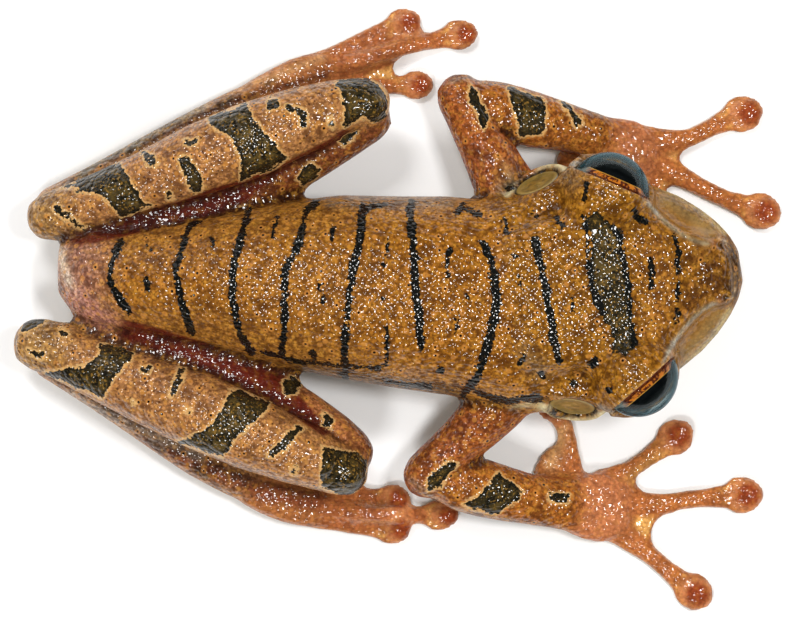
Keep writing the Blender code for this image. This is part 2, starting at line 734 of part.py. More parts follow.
def build_hand(side, material):
    palm = limb("palm_" + side, PALM[side], material, fullness=2.4)
    OUTER_RINGS["finger_root_" + side] = OUTER_RINGS["palm_" + side]
    names = build_digits(
        "finger",
        side,
        (3, 4, 2, 1),
        FINGERS[side],
        FINGER_DISC_RADII,
        FINGER_ROOT,
        FINGER_NECK,
        (0, 0, 0, 0),
        HAND_WEBS[side],
        material,
    )
    lobe = limb("lobe_" + side, THENAR[side], material, dome=0.9)
    thumb = combine(bpy.data.objects["finger_1_" + side], "UNION", [lobe])
    clear_of(thumb, "forearm_" + side)
    clear_of(palm, "forearm_" + side, "lobe_" + side, *names)


def build_arm(side, skin, hand):
    limb("upper_arm_" + side, UPPER_ARM[side], skin, against=["body"])
    limb("forearm_" + side, FOREARM[side], skin, against=["upper_arm_" + side])
    build_hand(side, hand)


def build_foot(side, material):
    sole = limb("foot_" + side, SOLE[side], material, fullness=2.4)
    OUTER_RINGS["toe_root_" + side] = OUTER_RINGS["foot_" + side]
    names = build_digits(
        "toe",
        side,
        (4, 3, 5, 2, 1),
        TOES[side],
        TOE_DISC_RADII,
        TOE_ROOT,
        TOE_NECK,
        TOE_LIFT,
        FOOT_WEBS[side],
        material,
    )
    clear_of(sole, "tarsus_" + side, *names)


def build_leg(side, thigh_skin, skin, foot_skin):
    thigh, shank = "thigh_" + side, "shank_" + side
    limb(thigh, THIGH[side], thigh_skin, against=["body"])
    limb(shank, SHANK[side], skin, against=["body", thigh], steps=1)
    limb("tarsus_" + side, TARSUS[side], skin, against=[thigh, shank])
    build_foot(side, foot_skin)


def centre_on_footprint():
    """Moves every piece so that the middle of the model's bounding box stands over the origin."""
    pieces = [obj for obj in bpy.data.objects if obj.type == "MESH"]
    corners = [vertex.co for obj in pieces for vertex in obj.data.vertices]
    shift = Vector(
        (
            -(min(c.x for c in corners) + max(c.x for c in corners)) / 2,
            -(min(c.y for c in corners) + max(c.y for c in corners)) / 2,
            0,
        )
    )
    for obj in pieces:
        obj.data.transform(Matrix.Translation(shift))


def main():
    clear_scene()
    ochre = make_material("dorsal_skin", SKIN_OCHRE, 0.4)
    tan = make_material("limb_skin", SKIN_TAN, 0.4)
    maroon = make_material("thigh_skin", SKIN_MAROON, 0.25)
    orange = make_material("hand_skin", SKIN_ORANGE, 0.3)
    black = make_material("eye", EYE_BLACK, 0.05)
    olive = make_material("eardrum", EAR_OLIVE, 0.35)
    build_torso_and_head(ochre)
    for side, sign in (("left", 1), ("right", -1)):
        build_eye_and_ear(side, sign, black, olive)
        build_arm(side, tan, orange)
        build_leg(side, maroon, tan, orange)
    centre_on_footprint()


main()
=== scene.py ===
import math

import bmesh
import bpy
import numpy as np
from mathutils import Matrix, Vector
from mathutils.bvhtree import BVHTree


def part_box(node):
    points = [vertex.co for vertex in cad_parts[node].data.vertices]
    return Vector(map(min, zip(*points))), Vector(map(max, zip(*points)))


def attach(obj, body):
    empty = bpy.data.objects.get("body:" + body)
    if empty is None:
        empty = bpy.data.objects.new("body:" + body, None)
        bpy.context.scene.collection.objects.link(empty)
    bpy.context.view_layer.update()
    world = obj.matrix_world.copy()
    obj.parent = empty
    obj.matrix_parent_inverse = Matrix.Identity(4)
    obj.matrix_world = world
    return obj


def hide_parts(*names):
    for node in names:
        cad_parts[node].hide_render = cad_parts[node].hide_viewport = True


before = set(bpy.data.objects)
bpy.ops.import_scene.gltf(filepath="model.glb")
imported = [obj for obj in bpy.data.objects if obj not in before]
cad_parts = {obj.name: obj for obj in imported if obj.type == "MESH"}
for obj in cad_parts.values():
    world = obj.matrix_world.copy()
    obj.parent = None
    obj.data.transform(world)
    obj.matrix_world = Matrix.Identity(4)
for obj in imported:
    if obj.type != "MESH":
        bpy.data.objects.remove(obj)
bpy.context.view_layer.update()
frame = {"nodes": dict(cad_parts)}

# Camera
# The photograph looks straight down on the frog. The camera hangs 0.8 m over the level of the
# frog's back, and one of the photograph's pixels there is 0.09 mm.
MM = 0.001

PHOTO_WIDE, PHOTO_HIGH = 802, 627
PIXEL = 0.09  # mm, at the level below
PIXEL_LEVEL = 8.0  # mm over the floor
CAMERA_RISE = 800.0  # mm over that level
VIEW_CENTRE = (0.276, -0.405)  # mm, the point of the floor under the middle of the photograph
SENSOR = 36.0  # mm
NEAREST_SEEN, FARTHEST_SEEN = 0.05, 5.0  # m from the camera

camera_data = bpy.data.cameras.new("straight_down")
camera_data.sensor_width = SENSOR
camera_data.lens = SENSOR * CAMERA_RISE / (PHOTO_WIDE * PIXEL)
camera_data.clip_start = NEAREST_SEEN
camera_data.clip_end = FARTHEST_SEEN
camera = bpy.data.objects.new("straight_down", camera_data)
camera.location = (VIEW_CENTRE[0] * MM, VIEW_CENTRE[1] * MM, (PIXEL_LEVEL + CAMERA_RISE) * MM)
bpy.context.scene.collection.objects.link(camera)
bpy.context.scene.camera = camera


def photo_places(points):
    """Where points in millimetres fall in the photograph, in its pixels."""
    size = PIXEL * (PIXEL_LEVEL + CAMERA_RISE - points[:, 2]) / CAMERA_RISE
    across = PHOTO_WIDE / 2 + (points[:, 0] - VIEW_CENTRE[0]) / size
    down = PHOTO_HIGH / 2 - (points[:, 1] - VIEW_CENTRE[1]) / size
    return np.stack([across, down], axis=1)


# Skin
# One moist, granular skin covers the frog from lip to toe, with no seam. It is made by swelling
# copies of the CAD solids until their working gaps close, wrapping them in one fine mesh, and
# drawing that mesh in again.
SWELL = 0.26  # mm
WRAP = 0.38  # mm between the wrapped mesh's points
MOST_SWELL_FACTOR = 1.6
SAME_POINT = 0.001  # mm, points nearer than this to one another are one

SMOOTH_ROUNDS = 34
PULL, PUSH_BACK = 0.55, 0.575  # shares of the way to the neighbours, in each round
# How much of the smoothing each part gets.
SMOOTH_SHARE = {
    "torso": 1.0, "head": 0.55, "upper_arm": 0.9, "forearm": 0.9, "palm": 0.6, "finger": 0.3,
    "thigh": 1.0, "shank": 1.0, "tarsus": 0.9, "foot": 0.6, "toe": 0.3,
}  # fmt: skip
# How much fuller than the solids each part is left, to make up for the smoothing.
GIRTH = {
    "torso": 0.0, "head": 0.02, "upper_arm": 0.02, "forearm": 0.02, "palm": 0.04, "finger": 0.07,
    "thigh": 0.0, "shank": 0.02, "tarsus": 0.02, "foot": 0.04, "toe": 0.06,
}  # fmt: skip


def ramp(values, low, high):
    """0 below low, 1 above high, and a soft step between them. It falls where high is below low."""
    share = np.clip((values - low) / (high - low), 0, 1)
    return share * share * (3 - 2 * share)


def is_flesh(name):
    """Whether a node is covered by the skin, as all are but the eyes and eardrums."""
    return not name.startswith(("eye", "eardrum"))


def part_of(name):
    """The body part that a node belongs to, without its side and number."""
    return next(part for part in SMOOTH_SHARE if name.startswith(part))


def swollen_copy(node):
    """The node's mesh in millimetres, every face moved out by the same amount."""
    solid = bmesh.new()
    solid.from_mesh(node.data)
    bmesh.ops.scale(solid, vec=(1 / MM,) * 3, verts=solid.verts)
    bmesh.ops.remove_doubles(solid, verts=solid.verts, dist=SAME_POINT)
    solid.normal_update()
    moves = [v.normal * SWELL * min(v.calc_shell_factor(), MOST_SWELL_FACTOR) for v in solid.verts]
    for vert, move in zip(solid.verts, moves):
        vert.co += move
    mesh = bpy.data.meshes.new(node.name + "_swollen")
    solid.to_mesh(mesh)
    solid.free()
    return mesh


def evaluated(obj):
    """A new mesh of the object with its modifiers applied."""
    graph = bpy.context.evaluated_depsgraph_get()
    return bpy.data.meshes.new_from_object(obj.evaluated_get(graph))


def rows(items, what, columns=3, kind=np.float32):
    """What each item of a mesh has, one row for each."""
    flat = np.empty(len(items) * columns, kind)
    items.foreach_get(what, flat)
    return flat.reshape(-1, columns)


def places(mesh):
    """The places of a mesh's points."""
    return rows(mesh.vertices, "co").astype(float)


def normals(mesh):
    """The way out of the mesh at each of its points."""
    return rows(mesh.vertex_normals, "vector").astype(float)


def place(mesh, points):
    """Moves a mesh's points to new places."""
    mesh.vertices.foreach_set("co", points.astype(np.float32).ravel())
    mesh.update()


def edge_ends(mesh):
    """The numbers of the two points that each edge joins."""
    return rows(mesh.edges, "vertices", 2, np.int32)


def neighbour_mean(values, ends):
    """For each point of a mesh, the mean of a value over the points it has an edge to."""
    count = len(values)
    shares = np.bincount(ends.ravel(), minlength=count)
    columns = values.reshape(count, -1)
    total = np.empty_like(columns, dtype=float)
    for index in range(columns.shape[1]):
        column = columns[:, index]
        total[:, index] = np.bincount(ends[:, 0], column[ends[:, 1]], count)
        total[:, index] += np.bincount(ends[:, 1], column[ends[:, 0]], count)
    return (total / np.maximum(shares, 1)[:, None]).reshape(values.shape)


def spread(values, ends, rounds):
    """Blurs a value over the mesh."""
    for _ in range(rounds):
        values = (values + neighbour_mean(values, ends)) / 2
    return values


def relaxed(points, ends, share, rounds):
    """Smooths a mesh and pushes back after each pull, so that thin parts keep their girth."""
    share = np.asarray(share, float).reshape(-1, 1)
    for _ in range(rounds):
        points = points + PULL * share * (neighbour_mean(points, ends) - points)
        points = points - PUSH_BACK * share * (neighbour_mean(points, ends) - points)
    return points


wrap_mesh = bmesh.new()
for name in frame["nodes"]:
    if name.startswith("eye"):
        continue
    copy = swollen_copy(frame["nodes"][name])
    wrap_mesh.from_mesh(copy)
    bpy.data.meshes.remove(copy)
rough = bpy.data.meshes.new("rough_skin")
wrap_mesh.to_mesh(rough)
wrap_mesh.free()
rough_skin = bpy.data.objects.new("rough_skin", rough)
bpy.context.scene.collection.objects.link(rough_skin)
wrap = rough_skin.modifiers.new("wrap", "REMESH")
wrap.mode = "VOXEL"
wrap.voxel_size = WRAP
skin_mesh = evaluated(rough_skin)
skin_mesh.name = "skin"
bpy.data.objects.remove(rough_skin)


def keep_largest_shell(mesh):
    """Drops the small closed shells that the wrap leaves inside the body."""
    ends = edge_ends(mesh)
    shell = np.arange(len(mesh.vertices))
    while True:
        lowest = np.minimum(shell[ends[:, 0]], shell[ends[:, 1]])
        joined = shell.copy()
        np.minimum.at(joined, ends[:, 0], lowest)
        np.minimum.at(joined, ends[:, 1], lowest)
        joined = joined[joined]
        if (joined == shell).all():
            break
        shell = joined
    largest = np.bincount(shell).argmax()
    bm = bmesh.new()
    bm.from_mesh(mesh)
    loose = [vert for vert, number in zip(bm.verts, shell) if number != largest]
    bmesh.ops.delete(bm, geom=loose, context="VERTS")
    bm.to_mesh(mesh)
    bm.free()


keep_largest_shell(skin_mesh)

# Which solid each point of the skin lies over.
solid_names, solid_points, solid_faces, face_owner = [], [], [], []
for name in filter(is_flesh, frame["nodes"]):
    node_mesh = frame["nodes"][name].data
    first = len(solid_points)
    solid_points += [vertex.co / MM for vertex in node_mesh.vertices]
    solid_faces += [[first + index for index in face.vertices] for face in node_mesh.polygons]
    face_owner += [len(solid_names)] * len(node_mesh.polygons)
    solid_names.append(name)
solids = BVHTree.FromPolygons(solid_points, solid_faces)


def owners(points):
    """The number of the nearest solid for each point."""
    return np.array([face_owner[solids.find_nearest(Vector(point))[2]] for point in points])


skin_ends = edge_ends(skin_mesh)
skin_points = places(skin_mesh)
owner = owners(skin_points)


def by_part(table):
    """A number for each point of the skin, from a table of body parts."""
    return np.array([table[part_of(name)] for name in solid_names])[owner]


smooth_share = spread(by_part(SMOOTH_SHARE), skin_ends, 6)
draw_in = spread(SWELL - by_part(GIRTH), skin_ends, 4)[:, None]
skin_points = relaxed(skin_points, skin_ends, 0.8, 3)
place(skin_mesh, skin_points)
skin_points = skin_points - draw_in * normals(skin_mesh)
skin_points = relaxed(skin_points, skin_ends, smooth_share, SMOOTH_ROUNDS)
skin_points[:, 2] = np.maximum(skin_points[:, 2], 0.0)
place(skin_mesh, skin_points)

# Head
# The skin lies tight on the bone and the eyeballs. A ridge runs from eye to nostril over a hollow
# cheek, low rolled lips close the mouth, and a shallow seat and a fold take each eardrum. Places
# are millimetres ahead of the line between the eyes, to the left of it, and up.
GAZE_TURN = math.radians(58)  # from straight ahead
EYE_INSET = {"left": 0.14, "right": 0.0}  # mm nearer to the midline than the solids' eyes
EYE_BED = 3.69  # mm from the eye's middle, where the skin ends against the eye
EYE_HOLLOW = 3.2  # mm from the eye's middle, and skin nearer than this stays hidden in the head
LID_AT = 0.8  # mm out from the eye's middle, the upright plane that the lid's edge lies in
LID_REACH, LID_HEIGHT = (5.0, 4.4), (0.4, 1.3)  # mm from the eye's middle, and over it
LID_TUCK, TUCK_REACH = 0.22, (4.6, 4.0)  # mm drawn towards the eye, and how far from its middle

EARDRUM_AT = (-6.2, 10.2, 8.8)
EARDRUM_BACK = math.radians(16.5)  # how far it faces back
EARDRUM_TILT = math.radians(20)  # and up
EAR_SEAT_AWAY = (1.9, 2.15, 2.45, 2.9)  # mm from its middle, with the skin's rise there below
EAR_SEAT_RISE = (-0.25, 0.0, 0.12, 0.0)
EAR_REACH, EAR_THICKNESS = (3.7, 2.6), (3.2, 2.4)  # mm from its middle, and out of its plane
EAR_FOLD_RISE, EAR_FOLD_AT, EAR_FOLD_HALF = 0.3, 2.6, 0.4  # mm


def middle(node_name):
    """The middle of a node's box, in millimetres."""
    low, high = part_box(node_name)
    return (np.array(low) + np.array(high)) / 2 / MM


eye_middle = {"left": middle("eye_left"), "right": middle("eye_right")}
brow = (eye_middle["left"] + eye_middle["right"]) / 2
leftwards = (eye_middle["left"] - eye_middle["right"])[:2]
leftwards /= np.linalg.norm(leftwards)
forwards = np.array([leftwards[1], -leftwards[0]])
SIGN = {"left": 1, "right": -1}
for side, inset in EYE_INSET.items():
    eye_middle[side][:2] -= SIGN[side] * inset * leftwards

MOUTH = [
    (-7.0, 11.0, 5.3),
    (-4.1, 11.2, 5.5),
    (-1.1, 10.8, 5.6),
    (1.9, 9.8, 5.7),
    (4.6, 8.2, 5.9),
    (7.0, 6.4, 6.1),
    (8.9, 4.5, 6.3),
    (10.2, 2.4, 6.4),
    (10.8, 0.0, 6.5),
]
MOUTH += [(ahead, -aside, height) for ahead, aside, height in MOUTH[-2::-1]]
GROOVE_HALF, GROOVE_DEPTH = 0.13, 0.3
LIP_RISE, LIP_HALF, LIP_ROLL = 0.55, 0.33, 0.12

# These lines are places in the photograph, in its pixels.
CANTHUS = {
    "left": [(650, 206), (660, 217), (670, 226), (683, 235), (695, 241), (708, 244)],
    "right": [(668, 352), (675, 340), (683, 330), (693, 318), (703, 309), (718, 302)],
}
CHEEK = {
    "left": [(661, 203), (678, 215), (694, 226), (708, 234)],
    "right": [(684, 352), (694, 337), (706, 323), (717, 313)],
}
NOSTRIL = {"left": (721.5, 244.5), "right": (727.0, 298.0)}
NOSTRIL_MOUND = {"left": (715.0, 243.5), "right": (720.0, 300.0)}
NOSTRIL_LIP = {
    "left": [(719, 238), (725, 241), (729, 249)],
    "right": [(735, 289), (733, 296), (727, 302)],
}
CANTHUS_RISE, CHEEK_DEPTH = 0.24, 0.28
DISC_RADIUS = {"finger": 1.7, "toe": 1.4}  # mm, the pads at the ends of the digits
DISC_DOME = 0.42
NOSTRIL_RISE, NOSTRIL_LIP_RISE, NOSTRIL_DEPTH = 0.16, 0.1, 0.6
FOLD_DEPTH = 0.3  # mm, how far the skin is drawn in where two limbs lie together
# The mesh is twice as fine this near to small shapes, in mm.
FINE_NEAR = {"lip": 1.6, "lip_height": 0.9, "eye": 4.9, "ear": 3.4, "canthus": 0.7, "nostril": 1.5}
HEAD_TOP = 7.0  # mm


def eye_frame(side):
    """The ways ahead along the gaze, towards the snout and up, as three rows."""
    ahead = forwards * math.cos(GAZE_TURN) + SIGN[side] * leftwards * math.sin(GAZE_TURN)
    snoutwards = forwards * math.sin(GAZE_TURN) - SIGN[side] * leftwards * math.cos(GAZE_TURN)
    return np.array([(*ahead, 0.0), (*snoutwards, 0.0), (0.0, 0.0, 1.0)])


def ear_frame(side):
    """The eardrum's middle, and the ways out of it, towards the snout and up its slope, as rows."""
    outward = SIGN[side] * leftwards * math.cos(EARDRUM_BACK) - forwards * math.sin(EARDRUM_BACK)
    snoutwards = forwards * math.cos(EARDRUM_BACK) + SIGN[side] * leftwards * math.sin(EARDRUM_BACK)
    out = (*(outward * math.cos(EARDRUM_TILT)), math.sin(EARDRUM_TILT))
    up = (*(-outward * math.sin(EARDRUM_TILT)), math.cos(EARDRUM_TILT))
    ahead, aside, height = EARDRUM_AT
    centre = np.array((*(brow[:2] + ahead * forwards + SIGN[side] * aside * leftwards), height))
    return centre, np.array([out, (*snoutwards, 0.0), up])


def head_places(points):
    """Points' places on the head: ahead, to the left, and up."""
    flat = points[:, :2] - brow[:2]
    return np.column_stack([flat @ forwards, flat @ leftwards, points[:, 2]])


def bell(distance, width):
    """1 at no distance, falling off softly."""
    return np.exp(-((distance / width) ** 2))


def distance_to_line(spots, line):
    """How far each spot is from a chain of straight lines."""
    nearest = np.full(len(spots), np.inf)
    for start, stop in zip(np.array(line, float), np.array(line[1:], float)):
        way = stop - start
        along = np.clip((spots - start) @ way / (way @ way), 0, 1)
        nearest = np.minimum(nearest, np.linalg.norm(spots - start - along[:, None] * way, axis=1))
    return nearest


def above_mouth(spots):
    """For places on the head: how far they are from the mouth's line in plan, and over it."""
    nearest = np.full(len(spots), np.inf)
    over = np.zeros(len(spots))
    for start, stop in zip(np.array(MOUTH), np.array(MOUTH[1:])):
        way = stop - start
        flat = way[:2]
        along = np.clip((spots[:, :2] - start[:2]) @ flat / (flat @ flat), 0, 1)
        away = np.linalg.norm(spots[:, :2] - start[:2] - along[:, None] * flat, axis=1)
        over = np.where(away < nearest, spots[:, 2] - start[2] - along * way[2], over)
        nearest = np.minimum(nearest, away)
    return nearest, over


def refine(mesh, chosen):
    """Halves every edge between two chosen points."""
    bm = bmesh.new()
    bm.from_mesh(mesh)
    edges = [e for e in bm.edges if chosen[e.verts[0].index] and chosen[e.verts[1].index]]
    bmesh.ops.subdivide_edges(bm, edges=edges, cuts=1, use_grid_fill=True)
    bm.to_mesh(mesh)
    bm.free()


def lids_closed_on_eye(points, side):
    """Draws the skin round an eye onto it, with the upper lid's edge in one upright plane."""
    from_eye = points - eye_middle[side]
    distance = np.linalg.norm(from_eye, axis=1)
    drawn = distance - LID_TUCK * ramp(distance, *TUCK_REACH)
    drawn = np.where((drawn > EYE_HOLLOW) & (drawn < EYE_BED), EYE_BED, drawn)
    points = points + from_eye * (drawn / np.maximum(distance, 0.1) - 1)[:, None]
    gaze = eye_frame(side)[0]
    beyond = np.maximum((points - eye_middle[side]) @ gaze - LID_AT, 0)
    share = ramp(distance, *LID_REACH) * ramp(from_eye[:, 2], *LID_HEIGHT)
    return points - (share * beyond)[:, None] * gaze


def seated_ear(points, side):
    """Shapes the skin round an eardrum: its seat, a low ring, and the fold under it."""
    centre, ways = ear_frame(side)
    out, along, up = ((points - centre) @ ways.T).T
    away = np.hypot(along, up)
    near = ramp(abs(out), *EAR_THICKNESS)
    seat = np.interp(away, EAR_SEAT_AWAY, EAR_SEAT_RISE)
    seat += EAR_FOLD_RISE * ramp(up, 0.6, -1.2) * bell(away - EAR_FOLD_AT, EAR_FOLD_HALF)
    share = ramp(away, *EAR_REACH) * near
    shaped = out + (seat - out) * share
    over = np.maximum(shaped - 0.2 - 0.45 * np.maximum(away - 2.3, 0), 0)
    shaped -= over * ramp(up, 0.0, 0.9) * ramp(away, 5.2, 4.2) * near
    return points + (shaped - out)[:, None] * ways[0]


hand_middle = {side: middle("palm_" + side) for side in ("left", "right")}
foot_middle = {side: middle("foot_" + side) for side in ("left", "right")}


def disc_middle(name):
    """The middle of the pad at a digit's end, in plan."""
    part = part_of(name)
    root = (hand_middle if part == "finger" else foot_middle)[name.rsplit("_", 1)[1]]
    corners = np.array([vertex.co for vertex in frame["nodes"][name].data.vertices])[:, :2] / MM
    tip = corners[np.linalg.norm(corners - root[:2], axis=1).argmax()]
    pad = corners[np.linalg.norm(corners - tip, axis=1) < 1.5 * DISC_RADIUS[part]]
    return (pad.min(axis=0) + pad.max(axis=0)) / 2


digit_names = [name for name in solid_names if part_of(name) in DISC_RADIUS]
discs = [(disc_middle(name), DISC_RADIUS[part_of(name)]) for name in digit_names]

seen = photo_places(skin_points)
on_head = head_places(skin_points)
lip_away, lip_over = above_mouth(on_head)
fine = (lip_away < FINE_NEAR["lip"]) & (abs(lip_over) < FINE_NEAR["lip_height"])
high = skin_points[:, 2] > HEAD_TOP
for side in ("left", "right"):
    fine |= np.linalg.norm(skin_points - eye_middle[side], axis=1) < FINE_NEAR["eye"]
    fine |= np.linalg.norm(skin_points - ear_frame(side)[0], axis=1) < FINE_NEAR["ear"]
    fine |= (distance_to_line(seen, CANTHUS[side]) * PIXEL < FINE_NEAR["canthus"]) & high
    fine |= (np.linalg.norm(seen - NOSTRIL[side], axis=1) * PIXEL < FINE_NEAR["nostril"]) & high
refine(skin_mesh, fine)
skin_ends = edge_ends(skin_mesh)
skin_points = relaxed(places(skin_mesh), skin_ends, 0.7, 3)
for side in ("left", "right"):
    from_eye = np.linalg.norm(skin_points - eye_middle[side], axis=1)
    skin_points = relaxed(skin_points, skin_ends, ramp(from_eye, 4.9, 4.3), 10)
    skin_points = lids_closed_on_eye(skin_points, side)
    skin_points = seated_ear(skin_points, side)
    centre, ways = ear_frame(side)
    ear_share = 0.6 * ramp(np.linalg.norm(skin_points - centre, axis=1), 4.6, 3.6)[:, None]
    for _ in range(4):
        skin_points = skin_points + ear_share * (neighbour_mean(skin_points, skin_ends) - skin_points)
    skin_points = seated_ear(skin_points, side)
skin_points[:, 2] = np.maximum(skin_points[:, 2], 0.0)
place(skin_mesh, skin_points)

# Where two limbs, or a limb and the trunk, lie together, the skin is drawn in to a fold.
FOLDING = ("torso", "thigh", "shank", "tarsus", "foot", "upper_arm", "forearm")
owner = owners(skin_points)
facing = normals(skin_mesh)
folding = np.array([name.startswith(FOLDING) for name in solid_names])[owner]
parts_meet = (owner[skin_ends[:, 0]] != owner[skin_ends[:, 1]]) & folding[skin_ends].all(axis=1)
meeting = np.zeros(len(skin_points))
meeting[skin_ends[parts_meet].ravel()] = 1.0
hollow = np.einsum("ij,ij->i", spread(skin_points, skin_ends, 14) - skin_points, facing)
fold = np.clip(1.7 * spread(meeting, skin_ends, 2), 0, 1) * ramp(hollow, 0.02, 0.12)

seen = photo_places(skin_points)
on_head = head_places(skin_points)
lip_away, lip_over = above_mouth(on_head)
at_lip = bell(lip_away, 1.0)
rise = -GROOVE_DEPTH * bell(lip_over, GROOVE_HALF) * at_lip
rise += LIP_ROLL * bell(lip_over - LIP_RISE, LIP_HALF) * at_lip
rise -= FOLD_DEPTH * fold
for disc, radius in discs:
    away = np.linalg.norm(skin_points[:, :2] - disc, axis=1) / radius
    rise += DISC_DOME * np.maximum(1 - away**2, 0) * ramp(facing[:, 2], 0.2, 0.7)
top = ramp(skin_points[:, 2], 6.5, 7.5) * ramp(facing[:, 2], 0.0, 0.3)
for side in ("left", "right"):
    rise += CANTHUS_RISE * bell(distance_to_line(seen, CANTHUS[side]) * PIXEL, 0.4) * top
    rise -= CHEEK_DEPTH * bell(distance_to_line(seen, CHEEK[side]) * PIXEL, 0.75) * top
    rise += NOSTRIL_RISE * bell(np.linalg.norm(seen - NOSTRIL_MOUND[side], axis=1) * PIXEL, 0.5) * top
    rise += NOSTRIL_LIP_RISE * bell(distance_to_line(seen, NOSTRIL_LIP[side]) * PIXEL, 0.26) * top
    rise -= NOSTRIL_DEPTH * bell(np.linalg.norm(seen - NOSTRIL[side], axis=1) * PIXEL, 0.3) * top
skin_points = skin_points + rise[:, None] * facing
skin_points[:, 2] = np.maximum(skin_points[:, 2], 0.0)
place(skin_mesh, skin_points)

# Markings
# The colours lie in the skin itself: a golden-brown back with thin black cross-bars, tan shanks and
# forearms with black-edged olive bands, maroon hidden surfaces and orange hands. Each marking is a
# curve given by its places in the photograph, and the skin keeps its distance from it.
def linear(code):
    """A linear colour from its sRGB hex code."""
    channels = [int(code[at : at + 2], 16) / 255 for at in (1, 3, 5)]
    return np.array([c / 12.92 if c <= 0.04045 else ((c + 0.055) / 1.055) ** 2.4 for c in channels])


def distance_to_patch(spots, corners):
    """How far each spot is outside a closed outline, and less than nothing inside it."""
    inside = np.zeros(len(spots), bool)
    for (x0, y0), (x1, y1) in zip(corners, corners[1:] + corners[:1]):
        if y0 == y1:
            continue
        crosses = (spots[:, 1] < y0) != (spots[:, 1] < y1)
        inside ^= crosses & (spots[:, 0] < x0 + (spots[:, 1] - y0) * (x1 - x0) / (y1 - y0))
    return np.where(inside, -1, 1) * distance_to_line(spots, corners + corners[:1])


# Each bar: half its width in the photograph's pixels, then its places from side to side.
BACK_BARS = [
    (3.0, [(121, 243), (113, 258), (110, 270), (112, 285), (120, 300), (129, 312)]),
    (3.0, [(200, 219), (190, 226), (184, 240), (180, 255), (176, 270), (178, 285), (181, 300),
           (186, 315), (192, 334)]),
    (3.2, [(249, 206), (246, 220), (240, 240), (235, 258), (233, 275), (232, 300), (236, 320),
           (241, 336), (252, 352)]),
    (3.2, [(316, 203), (305, 212), (303, 225), (298, 245), (292, 258), (285, 270), (285, 285),
           (284, 330), (282, 356)]),
    (3.4, [(362, 206), (362, 220), (360, 240), (355, 255), (353, 270), (350, 290), (348, 310),
           (345, 335), (345, 378)]),
    (3.6, [(411, 202), (410, 220), (413, 240), (415, 260), (415, 280), (417, 300), (419, 320), (421, 347)]),
    (3.8, [(483, 243), (490, 258), (494, 275), (497, 300), (494, 320), (489, 340), (484, 358),
           (478, 378), (464, 394)]),
    (3.8, [(535, 240), (540, 262), (545, 285), (548, 305), (552, 325), (555, 345), (559, 360)]),
    (2.6, [(385, 205), (372, 206), (364, 210)]),
    (2.8, [(450, 249), (447, 262), (448, 277)]),
    (2.6, [(387, 328), (387, 345), (386, 364)]),
    (1.8, [(388, 240), (384, 265)]),
    (2.0, [(277, 217), (272, 236)]),
    (2.4, [(332, 228), (331, 239)]),
    (1.8, [(320, 284), (323, 302)]),
    (1.6, [(146, 245), (151, 251)]),
    (1.8, [(146, 279), (148, 291)]),
    (1.6, [(212, 238), (213, 245)]),
    (3.0, [(311, 352), (315, 356)]),
    (2.0, [(457, 312), (456, 332)]),
    (2.6, [(439, 370), (442, 370)]),
    (2.6, [(504, 219), (507, 232)]),
    (2.2, [(513, 253), (515, 256)]),
    (3.2, [(462, 205), (457, 213)]),
    (2.6, [(467, 210), (480, 215)]),
    (2.4, [(494, 190), (512, 188)]),
    (1.6, [(381, 298), (386, 299)]),
    (1.6, [(467, 296), (470, 300)]),
    (2.2, [(262, 353), (300, 362), (345, 366), (380, 368)]),
    (2.4, [(385, 381), (405, 384), (430, 386)]),
    (3.4, [(476, 392), (492, 398), (508, 401), (524, 398), (540, 399)]),
    (2.2, [(650, 260), (652, 272), (651, 287)]),
    (2.1, [(674, 236), (678, 250), (677, 272)]),
    (2.1, [(678, 282), (677, 300)]),
    (1.8, [(678, 308), (676, 322)]),
    (2.6, [(582, 215), (588, 238), (589, 262), (592, 288), (603, 313)]),
    (2.6, [(612, 227), (621, 240), (624, 262), (628, 285), (630, 310), (634, 344)]),
    (4.0, [(590, 366), (595, 360)]),
    (2.4, [(557, 218), (563, 226)]),
    (2.4, [(533, 212), (537, 216)]),
    (3.2, [(634, 211), (636, 217), (645, 221)]),
    (2.6, [(587, 184), (584, 199)]),
    (2.0, [(571, 381), (575, 385)]),
    (2.4, [(520, 364), (525, 352)]),
    (1.8, [(652, 318), (654, 323)]),
    (1.8, [(607, 388), (611, 392)]),
    (1.6, [(540, 374), (543, 378)]),
    (1.6, [(572, 300), (573, 312)]),
    (1.6, [(520, 276), (522, 290)]),
]  # fmt: skip
HEAD_PATCH = [
    (577, 212), (583, 222), (590, 237), (590, 265), (590, 290), (595, 303), (601, 315), (610, 328),
    (612, 344), (611, 354), (619, 352), (626, 356), (634, 348), (634, 314), (630, 290), (626, 265),
    (623, 244), (619, 230), (606, 221), (598, 209), (588, 214),
]  # fmt: skip
